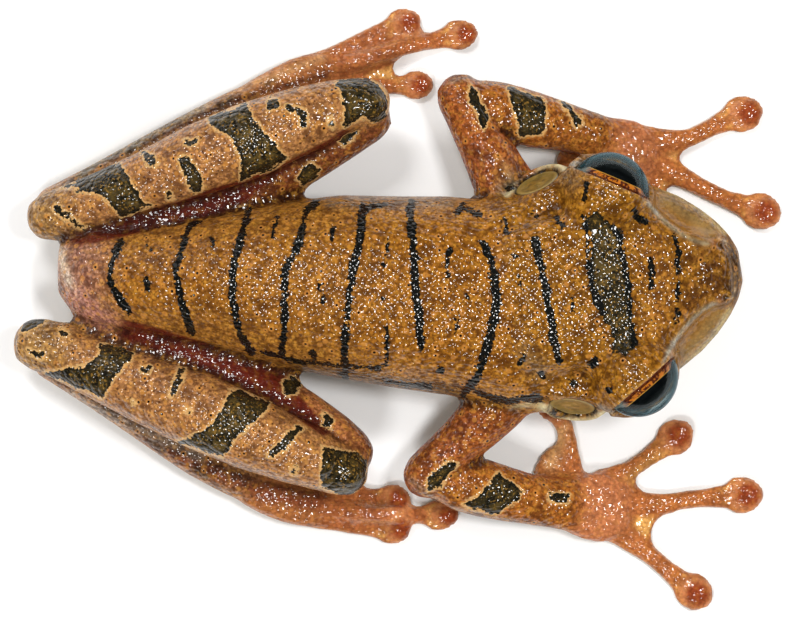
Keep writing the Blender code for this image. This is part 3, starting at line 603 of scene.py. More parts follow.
LIMB_PATCHES = {
    "shank": [
        [(61, 189), (90, 172), (119, 163), (125, 173), (133, 184), (141, 196), (152, 206), (138, 212),
         (122, 219), (116, 212), (110, 202), (100, 195), (84, 190)],
        [(208, 119), (247, 102), (254, 122), (265, 134), (275, 146), (288, 160), (241, 181), (240, 162),
         (237, 150), (231, 137), (224, 130), (213, 127)],
        [(337, 79), (370, 77), (390, 102), (384, 127), (375, 124), (365, 117), (344, 126), (344, 102)],
        [(178, 157), (190, 155), (196, 168), (204, 187), (197, 193), (190, 188), (184, 174)],
        [(288, 106), (307, 110), (308, 126), (301, 129), (299, 118), (289, 110)],
        [(268, 98), (278, 99), (277, 107), (270, 107)],
        [(327, 116), (333, 117), (332, 125), (328, 124)],
        [(142, 152), (150, 156), (159, 163), (155, 168), (148, 165)],
        [(184, 140), (198, 139), (197, 144), (186, 144)],
        [(164, 191), (171, 192), (174, 199), (167, 200)],
        [(56, 204), (88, 227), (85, 232), (54, 210)],
        [(99, 343), (133, 346), (130, 361), (112, 379), (102, 397), (46, 374), (84, 366), (97, 356)],
        [(232, 389), (270, 402), (260, 415), (240, 435), (224, 456), (173, 443), (202, 433), (219, 415)],
        [(321, 445), (345, 450), (367, 453), (365, 484), (344, 496), (321, 486)],
        [(180, 364), (186, 368), (174, 398), (168, 396)],
        [(299, 422), (304, 428), (272, 460), (265, 456)],
        [(131, 398), (139, 400), (138, 406), (131, 405)],
        [(184, 406), (191, 407), (190, 414), (184, 413)],
        [(141, 366), (149, 367), (148, 372), (141, 371)],
        [(289, 467), (297, 468), (297, 475), (290, 474)],
        [(60, 330), (68, 331), (68, 336), (61, 336)],
        [(22, 322), (44, 316), (48, 320), (30, 330), (22, 332)],
        [(26, 347), (43, 353), (42, 358), (26, 353)],
    ],
    "forearm": [
        [(466, 82), (472, 82), (485, 126), (479, 128)],
        [(509, 87), (541, 100), (545, 118), (544, 133), (520, 135), (514, 112)],
        [(561, 100), (568, 104), (582, 121), (577, 126)],
        [(455, 457), (461, 461), (431, 496), (425, 492)],
        [(498, 475), (523, 491), (512, 503), (496, 513), (463, 505), (482, 492)],
        [(630, 127), (645, 128), (644, 135), (632, 134)],
        [(547, 492), (568, 494), (567, 504), (550, 503)],
    ],
    "upper_arm": [
        [(470, 84), (480, 96), (488, 118), (484, 130), (476, 112), (468, 96)],
        [(428, 478), (448, 462), (458, 464), (440, 484), (428, 492)],
    ],
    "thigh": [
        [(337, 142), (340, 128), (350, 122), (362, 126), (354, 138), (344, 146)],
        [(298, 178), (302, 168), (312, 163), (319, 170), (312, 180), (303, 186)],
        [(231, 210), (246, 207), (246, 215), (233, 216)],
        [(283, 384), (291, 377), (301, 382), (298, 395), (288, 397)],
        [(324, 412), (336, 419), (332, 431), (321, 425)],
    ],
}  # fmt: skip
# The hidden faces of the thighs, as far as they show between shank and trunk.
MAROON = [
    [(60, 238), (84, 232), (112, 222), (140, 211), (180, 201), (215, 187), (241, 180), (287, 161),
     (329, 139), (347, 126), (352, 132), (330, 147), (300, 163), (276, 177), (262, 187), (248, 200),
     (232, 210), (200, 219), (160, 228), (120, 238), (80, 246)],
    [(118, 319), (145, 323), (175, 333), (205, 342), (235, 354), (262, 364), (280, 372),
     (290, 384), (302, 398), (318, 416), (332, 432), (324, 437), (300, 421), (280, 407), (250, 392),
     (220, 379), (180, 360), (140, 346), (120, 338)],
]  # fmt: skip


def of_part(*parts):
    """1 for the skin's points over these body parts, and 0 elsewhere."""
    wanted = np.array([part_of(name) in parts for name in solid_names])
    return wanted[owner].astype(float)


facing = normals(skin_mesh)
seen = photo_places(skin_points)
FAR = 9.0  # mm, where no marking is near
bar_distance = np.full(len(skin_points), FAR)
back = of_part("torso", "head") > 0
for half_width, line in BACK_BARS:
    away = (distance_to_line(seen[back], line) - half_width) * PIXEL
    bar_distance[back] = np.minimum(bar_distance[back], away)
patch_distance = np.full(len(skin_points), FAR)
patch_distance[back] = distance_to_patch(seen[back], HEAD_PATCH) * PIXEL
for part, patches in LIMB_PATCHES.items():
    here = of_part(part) > 0
    for corners in patches:
        away = distance_to_patch(seen[here], corners) * PIXEL
        patch_distance[here] = np.minimum(patch_distance[here], away)

PART_COLOURS = {
    "torso": "#9a631f", "head": "#935f14", "upper_arm": "#a35a28", "forearm": "#a76224",
    "palm": "#bf7549", "finger": "#b86c38", "thigh": "#7d4623", "shank": "#b07a48",
    "tarsus": "#b98658", "foot": "#b4703e", "toe": "#b4683a",
}  # fmt: skip
tone = np.array([linear(PART_COLOURS[part_of(name)]) for name in solid_names])[owner]
tone = spread(tone, skin_ends, 10)


def tint(where, code, amount):
    """Mixes a colour into the skin's own, where a mask between 0 and 1 says."""
    global tone
    share = (where * amount)[:, None]
    tone = tone * (1 - share) + linear(code) * share


def airbrush(strokes):
    """Lays strokes over the skin. Each has a colour, how much of it, its half width in the
    photograph's pixels, where on the skin it is laid, and one or more lines of places there."""
    for code, amount, half_width, where, *lines in strokes.values():
        away = np.min([distance_to_line(seen, line) for line in lines], axis=0)
        tint(bell(away, half_width) * upward * where, code, amount)


def by_slope(none, full):
    """0 to 1 by how the skin faces: 1 is straight up, 0 is to the side and -1 is down."""
    return ramp(facing[:, 2], none, full)


upward = by_slope(-0.25, 0.15)
torso = spread(of_part("torso"), skin_ends, 6)
head = spread(of_part("head"), skin_ends, 8)
thigh = spread(of_part("thigh"), skin_ends, 3)
shank = spread(of_part("shank"), skin_ends, 3)
arms = spread(of_part("upper_arm", "forearm"), skin_ends, 4)
digits = spread(of_part("finger", "toe"), skin_ends, 4)
hands = spread(of_part("finger", "toe", "palm", "foot"), skin_ends, 14)
feet = spread(of_part("tarsus", "foot"), skin_ends, 3)
limbs = spread(1 - of_part("torso", "head"), skin_ends, 4)
head_top = head * by_slope(0.2, 0.5)
snout_top = head * by_slope(0.35, 0.65)

# Where a colour starts and where it is full, across the photograph in its pixels.
GOLDEN_TRUNK = (330, 430)
VENT_END = (130, 75)
PALE_HEEL = (95, 40)
THIGH_REAR = (60, 40)
SNOUT_END = (722, 734)

# Trunk: more golden in front, painted light on the slopes, darker low on the flanks, and a pink-cream vent
# with folds.
tint(torso * ramp(seen[:, 0], *GOLDEN_TRUNK), "#985f14", 0.7)
# Painted light: the trunk is lighter where it slopes away from its flat top, making up for the shade on the
# slopes.
tint(torso * by_slope(0.92, 0.5), "#bd8236", 0.55)
tint(torso * by_slope(0.4, 0.0), "#87592c", 0.4)
tint(torso * ramp(seen[:, 0], *VENT_END), "#b07c64", 0.9)
TRUNK_STROKES = {
    "pale_vent_rim": ("#e9d4bb", 0.9, 4.5, 1.0, [(61, 250), (64, 268), (72, 290), (84, 310)]),
    "pink_beside_vent": ("#b87860", 0.8, 9.0, torso, [(74, 302), (90, 318), (108, 328)]),
    # Painted shade: the vent's folds are dark lines.
    "vent_fold_shade": ("#7a4438", 0.6, 2.5, torso, [(76, 245), (80, 262), (90, 285)], [(88, 300), (102, 316)]),
    # Painted sheen: a pale edge and a grey-brown strip on the wrinkled left flank, where the wet skin catches
    # the light.
    "pale_left_edge_sheen": ("#c4b7a8", 0.6, 3.0, torso, [(350, 198), (400, 197), (470, 194)]),
    "grey_brown_left_flank_sheen": ("#80684e", 0.7, 5.0, torso, [(330, 205), (400, 204), (450, 203)]),
    # Painted shade: the right flank, turned from the light, is darkened.
    "shaded_right_flank": ("#5c4128", 0.85, 8.0, torso, [(300, 366), (360, 378), (420, 386), (460, 392)]),
}
airbrush(TRUNK_STROKES)

# Head: dark between the eyes, a red-brown snout, olive-yellow cheeks and a pale lip. Each straight
# upper lid has a pale golden rim and a grey rear corner.
HEAD_STROKES = {
    "dark_crown": ("#5e3a0c", 0.55, 22.0, head, [(608, 235), (612, 290), (620, 345)]),
    "red_brown_snout": ("#a36a2c", 0.6, 14.0, head, [(655, 245), (662, 290), (655, 330)]),
    "brown_snout_end": ("#6a401a", 0.8, 14.0, head, [(700, 258), (714, 272), (714, 286)],
                        [(690, 300), (700, 292)]),
    "olive_cheeks": ("#97794a", 0.9, 9.0, head, [(666, 200), (690, 215), (710, 230)],
                     [(686, 354), (704, 334), (719, 316)]),
    "dark_front_lip": ("#5c3e14", 0.9, 9.0, head, [(732, 250), (737, 272), (732, 294)]),
    "pale_left_lip": ("#c0ac72", 0.85, 3.0, head, [(660, 186), (690, 202), (712, 218), (725, 232)]),
    "pale_right_lip": ("#c0ac72", 0.85, 3.0, head, [(682, 368), (705, 347), (721, 326), (730, 310)]),
    "grey_ridges": ("#988d70", 0.8, 2.6, head, CANTHUS["left"], CANTHUS["right"]),
    "grey_before_eyes": ("#aaa596", 0.75, 2.0, head_top, [(644, 201), (652, 206), (660, 216)],
                         [(664, 362), (668, 352), (676, 340)]),
    "nostril_mounds": ("#96613c", 0.7, 4.0, head_top, [(714, 243), (716, 244)], [(719, 301), (720, 300)]),
    "nostril_lips": ("#cbb595", 0.8, 1.5, snout_top, *NOSTRIL_LIP.values()),
    # Painted shade: the nostrils' pits are dark.
    "nostril_pit_shade": ("#160c06", 0.95, 2.2, head, [NOSTRIL["left"], (721, 246)], [NOSTRIL["right"], (726, 299)]),
    "dull_behind_eyes": ("#8c7450", 0.5, 12.0, head, [(560, 172), (572, 180)], [(520, 352), (540, 372)]),
    "golden_lid_rims": ("#c08e42", 0.9, 1.6, 1.0, [(583, 169), (612, 184), (645, 202)],
                        [(613, 407), (640, 385), (667, 362)]),
    "grey_lid_corners": ("#a59c8a", 0.8, 4.0, head, [(566, 167), (579, 163)], [(600, 408), (612, 413)]),
}  # fmt: skip
airbrush(HEAD_STROKES)

# Ears: a dark line of painted shade in the crease round the lower side of each eardrum, a pale fold under it,
# and a dark spot of painted shade where the fold behind it ends.
PALE_FOLD_AT, PALE_FOLD_HALF, SHADE_LINE = 2.75, 0.5, (2.3, 2.18)  # mm from the eardrum's middle
ear_band = np.zeros(len(skin_points))
for side in ("left", "right"):
    centre, ways = ear_frame(side)
    out, along, up = ((skin_points - centre) @ ways.T).T
    ear_distance = np.hypot(along, up)
    near_ear = ramp(abs(out), 2.6, 1.8)
    band = near_ear * bell(ear_distance - PALE_FOLD_AT, PALE_FOLD_HALF) * ramp(up, 0.8, -0.1) * (1 - arms)
    ear_band = np.maximum(ear_band, band)
    tint(band, "#e6d8aa", 0.95)
    # Painted shade in the crease under the eardrum.
    tint(near_ear * ramp(ear_distance, *SHADE_LINE) * ramp(up, 1.4, 0.4), "#1e1609", 0.95)
EAR_STROKES = {
    # Painted shade where the fold behind the ear ends.
    "fold_end_shade": ("#221b10", 0.9, 4.0, head, [(502, 190), (510, 189)]),
    "pale_fold": ("#dccb98", 0.8, 2.6, 1 - arms, [(496, 186), (504, 183), (512, 190)],
                  [(512, 408), (530, 404), (550, 407)]),
}  # fmt: skip
airbrush(EAR_STROKES)

# Limbs: yellow heels, orange thigh fronts, red-brown arms, and grey strips along the outer edges.
tint(shank * ramp(seen[:, 0], *PALE_HEEL), "#a98550", 0.7)
tint(thigh * (1 - ramp(seen[:, 0], *THIGH_REAR)) * upward, "#8a4a2a", 0.35)
tint(arms * by_slope(0.6, 0.1), "#a04a28", 0.8)
LIMB_STROKES = {
    "red_brown_elbows": ("#96522e", 0.8, 9.0, arms, [(474, 150), (484, 172), (492, 190)],
                         [(470, 420), (455, 440), (440, 458)]),
    "orange_thigh_front": ("#bf7a48", 0.95, 10.0, thigh, [(288, 374), (310, 394), (335, 420), (352, 440)]),
}  # fmt: skip
airbrush(LIMB_STROKES)
maroon = np.max([ramp(distance_to_patch(seen, corners), 1.5, -1.5) for corners in MAROON], axis=0)
maroon *= upward * (1 - hands)
VENT_SIDE = [(74, 296), (88, 310), (108, 322)]
vent_side = bell(distance_to_line(seen, VENT_SIDE), 10.0)
maroon *= 1 - vent_side
tint(maroon, "#5e1c10", 0.97)
tint(vent_side * upward * (1 - shank), "#c08474", 0.85)
EDGE_STROKES = {
    "red_right_tarsus": ("#7e3a22", 0.85, 8.0, feet, [(150, 440), (180, 457), (220, 477), (260, 492),
                                                      (300, 501), (345, 507), (400, 512)]),
    # Painted shade: the maroon skin in the creases beside the shanks is darkened.
    "shaded_crease_beside_shanks": ("#4f1c10", 0.9, 3.5, feet,
                           [(62, 192), (85, 172), (120, 153), (160, 136), (205, 114), (245, 97),
                            (290, 84), (335, 73), (380, 64)],
                           [(52, 376), (100, 402), (140, 426), (180, 449), (220, 468), (260, 483),
                            (300, 492), (345, 498), (372, 493)]),
    "right_tarsus_spots": ("#4a3a22", 0.85, 4.0, feet, [(106, 408), (115, 416)], [(150, 441), (163, 450)],
                           [(197, 470), (206, 476)]),
    "left_tarsus_spots": ("#4a3a22", 0.85, 4.0, feet, [(219, 106), (230, 99)], [(265, 84), (276, 78)],
                          [(127, 152), (139, 147)]),
    "grey_left_tarsus": ("#857a5e", 0.75, 5.0, feet, [(60, 196), (96, 162), (150, 134), (205, 106)]),
    "grey_right_tarsus": ("#b09c88", 0.85, 5.0, feet, [(72, 394), (110, 416), (150, 434), (200, 457)]),
    "tan_left_tarsus": ("#d09a68", 0.85, 4.5, feet, [(240, 88), (300, 66), (350, 48), (390, 22)]),
    "grey_left_forearm": ("#8a7862", 0.6, 4.0, arms, [(452, 80), (470, 77), (520, 84), (570, 100),
                                                      (600, 115)]),
    "grey_right_forearm": ("#8a7862", 0.6, 4.0, arms, [(412, 480), (440, 506), (500, 520), (560, 532)]),
}  # fmt: skip
airbrush(EDGE_STROKES)

# Hands and feet: paler edges, amber webs painted bright for the light that shines through them, and
# dark-centred discs.
tint(digits * by_slope(0.8, 0.25), "#d2935c", 0.6)
web = digits * ramp(skin_points[:, 2], 0.95, 0.75) * by_slope(0.8, 0.93)
on_disc = np.zeros(len(skin_points))
for disc, radius in discs:
    away = np.linalg.norm(skin_points[:, :2] - disc, axis=1) / radius
    tint(digits * upward * ramp(away, 1.2, 0.8), "#cc8656", 0.85)
    tint(digits * upward * ramp(away, 0.85, 0.45), "#8a3412", 0.92)
    on_disc = np.maximum(on_disc, ramp(away, 1.3, 1.0))
    web *= ramp(away, 1.0, 1.3)
# Painted light: the amber webs are made bright for the light that shines through them.
tint(web, "#f6b866", 0.9)
off_discs = hands * (1 - on_disc)
HAND_STROKES = {
    "orange_right_palm": ("#dba56c", 0.9, 8.0, off_discs, [(562, 418), (560, 440), (550, 464)]),
    "orange_right_finger": ("#cf9350", 0.8, 6.0, off_discs, [(630, 478), (655, 458), (668, 448)]),
}
airbrush(HAND_STROKES)

# Belly and throat: cream. The bottom of each fold is darkened with painted shade.
belly = by_slope(-0.05, -0.55)
tint(belly, "#d8c49c", 0.9)
painted_crease_shade = np.maximum(ramp(hollow, 0.06, 0.32) * (1 - digits), fold)
tint(painted_crease_shade * (1 - 0.7 * vent_side) * (1 - by_slope(0.0, -0.4)), "#260c08", 0.8)


def keep(mesh, name, values):
    """Stores one number for each point of a mesh, for its material to read."""
    attribute = mesh.attributes.new(name, "FLOAT", "POINT")
    attribute.data.foreach_set("value", np.clip(values, -FAR, FAR).astype(np.float32))


# Grit is how granular the skin is, streak how far it is drawn out in fine wrinkles, and wet how
# much water lies on it. The steep sides and the end of the snout are drier.
flank = torso * by_slope(0.55, 0.2) * by_slope(-0.6, -0.2)
smooth_snout = head * bell(np.min([distance_to_line(seen, line) for line in CHEEK.values()], axis=0), 14)
grit = 1.0 - 0.4 * maroon - 0.3 * hands - 0.3 * on_disc - 0.1 * arms - 0.6 * smooth_snout - 0.3 * flank
grit -= 0.6 * ear_band
snout_end = head * ramp(seen[:, 0], *SNOUT_END)
steep = by_slope(0.6, 0.2)
keep(skin_mesh, "bar", bar_distance)
keep(skin_mesh, "patch", patch_distance)
keep(skin_mesh, "limb", limbs)
keep(skin_mesh, "pored", np.clip(1 - hands - maroon - belly - smooth_snout - ear_band, 0, 1))
mottled = 0.7 - 0.5 * smooth_snout - 0.7 * ear_band - 0.5 * maroon - 0.4 * hands
keep(skin_mesh, "mottled", np.clip(mottled, 0, 1))
keep(skin_mesh, "specked", shank + 0.6 * arms + 0.7 * feet)
keep(skin_mesh, "grit", np.clip(grit * by_slope(0.0, 0.45), 0.05, 1))
keep(skin_mesh, "wet", np.clip(1 - 0.6 * steep - 0.6 * snout_end - 0.35 * smooth_snout, 0.2, 1))
keep(skin_mesh, "streak", np.clip(0.6 * maroon + 0.8 * flank + 0.5 * hands, 0, 1))
colour = skin_mesh.attributes.new("tone", "FLOAT_COLOR", "POINT")
with_alpha = np.column_stack([tone, np.ones(len(tone))])
colour.data.foreach_set("color", with_alpha.astype(np.float32).ravel())

skin_mesh.shade_smooth()
place(skin_mesh, skin_points * MM)
skin = bpy.data.objects.new("skin", skin_mesh)
bpy.context.scene.collection.objects.link(skin)
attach(skin, "root")
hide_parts(*filter(is_flesh, frame["nodes"]))


def add_node(tree, kind, inputs=None, output=0, **settings):
    """Adds a shader node, sets or links its inputs, and gives back one of its outputs."""
    node = tree.nodes.new("ShaderNode" + kind)
    for name, value in settings.items():
        setattr(node, name, value)
    for name, value in (inputs or {}).items():
        if isinstance(value, bpy.types.NodeSocket):
            tree.links.new(value, node.inputs[name])
        else:
            node.inputs[name].default_value = value
    return node.outputs[output] if node.outputs else node


def rgba(code):
    """A shader's colour from its sRGB hex code."""
    return (*linear(code), 1.0)


def per_mm(size):
    """The scale that gives a pattern this size in millimetres on Object coordinates."""
    return 1 / (size * MM)


def painted(tree, colour, layers):
    """Lays colours over one another, each as a value goes softly from its first bound to its second."""
    for value, none, full, most, over in layers:
        steps = {"Value": value, "From Min": none, "From Max": full, "To Max": most}
        share = add_node(tree, "MapRange", steps, interpolation_type="SMOOTHSTEP")
        colour = add_node(tree, "Mix", {0: share, 6: colour, 7: over}, 2, data_type="RGBA")
    return colour


def new_material(name):
    """A material with an empty node tree."""
    material = bpy.data.materials.new(name)
    material.use_nodes = True
    material.node_tree.nodes.clear()
    return material


# Wet frog skin: thin and granular, kept wet by its glands. The film of water gives it a sharp
# gloss over the dull, mottled colour, and each granule its own small spark.
wet_skin = new_material("wet_granular_frog_skin")
tree = wet_skin.node_tree
where = add_node(tree, "TexCoord", output="Object")
skin_tone = add_node(tree, "Attribute", output="Color", attribute_name="tone")
mask = {
    name: add_node(tree, "Attribute", output="Fac", attribute_name=name)
    for name in ("bar", "patch", "limb", "mottled", "pored", "specked", "grit", "streak", "wet")
}
CLOUDS = {"cloud": (1.6, 3.0), "blotch": (0.6, 2.0), "grain": (0.24, 2.0), "wander": (2.2, 1.0)}  # mm, detail
cloudy = {
    name: add_node(tree, "TexNoise", {"Vector": where, "Scale": per_mm(size), "Detail": detail})
    for name, (size, detail) in CLOUDS.items()
}
DOTS = {"granule": 0.34, "wet_granule": 0.5, "pore": 1.15, "speck": 0.62}  # mm
dotted = {
    name: add_node(tree, "TexVoronoi", {"Vector": where, "Scale": per_mm(size)}, "Distance")
    for name, size in DOTS.items()
}

# Mottling: clouds at 1.6 and 0.6 mm and a finer grain, with painted shade in the gaps between the granules.
# Pores are black dots a little over 1 mm apart, each in a paler ring. Shanks and arms have small brown
# specks.
darker = add_node(
    tree,
    "Mix",
    {0: 0.85, 6: skin_tone, 7: rgba("#5a3a12")},
    2,
    data_type="RGBA",
    blend_type="MULTIPLY",
)
lighter = add_node(tree, "Mix", {0: 0.45, 6: skin_tone, 7: rgba("#cf9434")}, 2, data_type="RGBA")
SHARES = {
    # The gap share lays painted shade between the granules.
    "gap": ("grit", 0.5),
    "halo": ("pored", 0.5),
    "speck": ("specked", 0.8),
    "rim": ("limb", 0.75),
    "lump": ("grit", 0.6),
}
share_of = {
    name: add_node(tree, "Math", {0: mask[whole], 1: factor}, operation="MULTIPLY")
    for name, (whole, factor) in SHARES.items()
}
skin_colour = painted(
    tree,
    skin_tone,
    [
        (cloudy["cloud"], 0.52, 0.34, mask["mottled"], darker),
        (cloudy["blotch"], 0.5, 0.64, mask["mottled"], lighter),
        (cloudy["blotch"], 0.48, 0.35, mask["mottled"], darker),
        (cloudy["grain"], 0.48, 0.34, mask["mottled"], darker),
        (dotted["granule"], 0.36, 0.62, share_of["gap"], darker),
        (dotted["pore"], 0.3, 0.2, share_of["halo"], rgba("#c08038")),
        (dotted["pore"], 0.125, 0.095, mask["pored"], rgba("#140b06")),
        (dotted["speck"], 0.24, 0.14, share_of["speck"], rgba("#40200e")),
    ],
)

# Edges of the markings wander by about a quarter of a millimetre, on three scales.
RAGGED = {"bar": (0.45, 0.6, 0.5), "patch": (0.9, 0.7, 0.5)}
ragged = {}
for name, reaches in RAGGED.items():
    edge = mask[name]
    for cloud, reach in zip(("wander", "blotch", "grain"), reaches):
        shift = {0: cloudy[cloud], 1: reach, 2: edge}
        edge = add_node(tree, "Math", shift, operation="MULTIPLY_ADD")
    centred = {0: edge, 1: sum(reaches) / 2}
    ragged[name] = add_node(tree, "Math", centred, operation="SUBTRACT")

# Olive patches: a cream rim on the limbs, a black edge, and olive with gold specks inside.
olive = painted(
    tree,
    rgba("#2b2310"),
    [
        (cloudy["cloud"], 0.44, 0.64, 0.8, rgba("#54431f")),
        (cloudy["blotch"], 0.5, 0.4, 0.9, rgba("#12110a")),
        (cloudy["grain"], 0.55, 0.66, 0.7, rgba("#8c682a")),
    ],
)
patch_colour = painted(tree, olive, [(ragged["patch"], -0.5, -0.1, 0.85, rgba("#12120b"))])
bar_colour = painted(tree, rgba("#080a08"), [(cloudy["grain"], 0.54, 0.68, 0.7, rgba("#2e2412"))])
skin_colour = painted(
    tree,
    skin_colour,
    [
        (ragged["patch"], 0.3, 0.06, share_of["rim"], rgba("#cfa468")),
        (ragged["patch"], 0.05, -0.05, 1.0, patch_colour),
        (ragged["bar"], 0.1, -0.02, 1.0, bar_colour),
    ],
)

# Relief: granules over soft lumps, and fine wrinkles drawn out along the body. Real granules are
# finer than the 0.5 mm of the water's relief and the 0.34 mm of the skin's, and too fine to show.
drawn_out = add_node(tree, "Mapping", {"Vector": where, "Scale": (0.22, 1.0, 1.0)})
wrinkles = add_node(tree, "TexNoise", {"Vector": drawn_out, "Scale": per_mm(0.5), "Detail": 1.0})
lumps = add_node(tree, "TexNoise", {"Vector": where, "Scale": per_mm(1.0), "Detail": 1.0})
domes = {
    name: add_node(tree, "Math", {0: dotted[name], 1: 2.0}, operation="POWER")
    for name in ("wet_granule", "granule")
}
relief = None
for height, depth, strength, sunk in (
    (wrinkles, 0.3, mask["streak"], False),
    (lumps, 0.25, share_of["lump"], False),
    (domes["wet_granule"], 0.14, mask["grit"], True),
):
    bumps = {"Height": height, "Distance": depth * MM, "Strength": strength}
    if relief:
        bumps["Normal"] = relief
    body_relief, relief = relief, add_node(tree, "Bump", bumps, invert=sunk)
shallow = {"Height": domes["granule"], "Distance": 0.05 * MM, "Strength": mask["grit"], "Normal": body_relief}
body_relief = add_node(tree, "Bump", shallow, invert=True)
shader = add_node(
    tree,
    "BsdfPrincipled",
    {
        "Base Color": skin_colour,
        "Roughness": 0.6,
        "Specular IOR Level": 0.05,
        "Coat Weight": mask["wet"],
        "Coat Roughness": 0.08,
        "Coat IOR": 1.45,
        "Subsurface Weight": 0.1,
        "Subsurface Radius": (1.0, 0.35, 0.15),
        "Subsurface Scale": 0.4 * MM,
        "Normal": body_relief,
        "Coat Normal": relief,
    },
)
add_node(tree, "OutputMaterial", {"Surface": shader})
skin_mesh.materials.append(wet_skin)

# Eyes
# Each eye is a globe with a domed, rust-veined iris and a wide pupil, set behind a clear cornea.
# The globe's pole is its gaze, level and out to the side. Sizes are millimetres from its middle.
GLOBE_RADIUS = 3.6
PUPIL_WIDE, PUPIL_HIGH = 2.55, 2.25  # half sizes
IRIS_ROOT, PUPIL_AHEAD, LENS_BULGE = 0.72, 1.45, 1.4
LENS_END, IRIS_END = math.radians(45), math.radians(74)  # the globe's rings that carry each
VEIN_STRETCH = 0.25  # how much less the veins change outwards than round the pupil
CORNEA_END = math.radians(79)
CORNEA_WALL = 0.06


def smooth_object(name, bm):
    """An object of a finished mesh, smooth and with its faces outwards."""
    bmesh.ops.recalc_face_normals(bm, faces=bm.faces)
    mesh = bpy.data.meshes.new(name)
    bm.to_mesh(mesh)
    bm.free()
    mesh.shade_smooth()
    obj = bpy.data.objects.new(name, mesh)
    bpy.context.scene.collection.objects.link(obj)
    return obj


def eye_object(name, bm, side):
    """Sets a mesh built round the gaze as +Z into its place on the head."""
    ways = eye_frame(side)
    for vert in bm.verts:
        ahead, beside, above = vert.co.z, vert.co.x, vert.co.y
        vert.co = (eye_middle[side] + ahead * ways[0] + beside * ways[1] + above * ways[2]) * MM
    obj = smooth_object(name, bm)
    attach(obj, "root")
    return obj


def build_globe(side):
    """The globe, pressed in to an iris cone with the dark lens bulging through the pupil."""
    bm = bmesh.new()
    bmesh.ops.create_uvsphere(bm, u_segments=96, v_segments=80, radius=GLOBE_RADIUS)
    marks = []
    for vert in bm.verts:
        tilt = math.acos(max(-1.0, min(1.0, vert.co.z / GLOBE_RADIUS)))
        round_way = vert.co.xy.normalized() if vert.co.xy.length > SAME_POINT else Vector((1, 0))
        pupil = 1 / math.hypot(round_way.x / PUPIL_WIDE, round_way.y / PUPIL_HIGH)
        root = GLOBE_RADIUS * math.sin(math.acos(IRIS_ROOT / GLOBE_RADIUS))
        if tilt < LENS_END:
            quarter = math.pi / 2 * tilt / LENS_END
            out, ahead = pupil * math.sin(quarter), PUPIL_AHEAD + LENS_BULGE * math.cos(quarter)
        elif tilt < IRIS_END:
            share = (tilt - LENS_END) / (IRIS_END - LENS_END)
            out, ahead = pupil + (root - pupil) * share, PUPIL_AHEAD + (IRIS_ROOT - PUPIL_AHEAD) * share
        else:
            out, ahead = GLOBE_RADIUS * math.sin(tilt), GLOBE_RADIUS * math.cos(tilt)
        marks.append((out - pupil if tilt >= LENS_END else -1.0, root - out, vert.co.x, *round_way))
        vert.co = (round_way.x * out, round_way.y * out, ahead)
    globe = eye_object("globe_" + side, bm, side)
    for index, name in enumerate(("past_pupil", "inside_root", "snoutwards")):
        keep(globe.data, name, [mark[index] for mark in marks])
    spokes = globe.data.attributes.new("spoke", "FLOAT_VECTOR", "POINT").data
    spoke_places = [v for mark in marks for v in (mark[3], mark[4], mark[0] * VEIN_STRETCH)]
    spokes.foreach_set("vector", spoke_places)
    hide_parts("eye_" + side)
    return globe


def build_cornea(side):
    """A thin clear dome over the iris, closed along its edge."""
    bm = bmesh.new()
    bmesh.ops.create_uvsphere(bm, u_segments=80, v_segments=60, radius=GLOBE_RADIUS + CORNEA_WALL)
    behind = [v for v in bm.verts if v.co.z < (GLOBE_RADIUS + CORNEA_WALL) * math.cos(CORNEA_END)]
    bmesh.ops.delete(bm, geom=behind, context="VERTS")
    bmesh.ops.solidify(bm, geom=bm.faces[:], thickness=CORNEA_WALL)
    to_front = [vert.co.z / GLOBE_RADIUS for vert in bm.verts]
    cornea = eye_object("cornea_" + side, bm, side)
    keep(cornea.data, "to_front", to_front)
    return cornea


# The globe's front is the iris: rust with dark veins, gold at the pupil, then maroon towards its root as
# painted shade from the lid, and a dark blue-green at its root. The surface is smooth and moist.
iris = new_material("frog_iris")
tree = iris.node_tree
on_globe = {
    name: add_node(tree, "Attribute", output="Fac", attribute_name=name)
    for name in ("past_pupil", "inside_root", "snoutwards")
}
spoke = add_node(tree, "Attribute", output="Vector", attribute_name="spoke")
veining = {"Vector": spoke, "Scale": 9.0, "Detail": 3.0, "Distortion": 0.6}
veins = add_node(tree, "TexNoise", veining)
eye_colour = painted(
    tree,
    rgba("#5a1604"),
    [
        (veins, 0.44, 0.56, 1.0, rgba("#ee7c1c")),
        # Painted shade: the iris darkens to maroon towards its root, as under the lid's shadow.
        (on_globe["past_pupil"], 0.7, 1.15, 0.9, rgba("#4a1204")),
        (on_globe["past_pupil"], 0.16, 0.07, 0.9, rgba("#e8a040")),
        (on_globe["past_pupil"], 0.03, 0.0, 1.0, rgba("#020304")),
        (on_globe["inside_root"], 0.02, -0.1, 1.0, rgba("#1d3438")),
        (on_globe["snoutwards"], -2.3, -2.9, 0.9, rgba("#77807a")),
    ],
)
shader = add_node(
    tree,
    "BsdfPrincipled",
    {"Base Color": eye_colour, "Roughness": 0.6, "Specular IOR Level": 0.1},
)
add_node(tree, "OutputMaterial", {"Surface": shader})

# The cornea is clear living tissue, wet with tears. Seen edge on it is a dark blue-green with a pale rim, the
# rim a painted reflection of the pale floor, and at the very rim its wet surface mirrors.
cornea_film = new_material("wet_clear_cornea")
tree = cornea_film.node_tree
slant = add_node(tree, "LayerWeight", {"Blend": 0.5}, "Facing")
to_front = add_node(tree, "Attribute", output="Fac", attribute_name="to_front")
front_share = add_node(
    tree,
    "MapRange",
    {"Value": to_front, "From Min": 0.2, "From Max": 0.7, "To Min": 0.35, "To Max": 1.0},
)
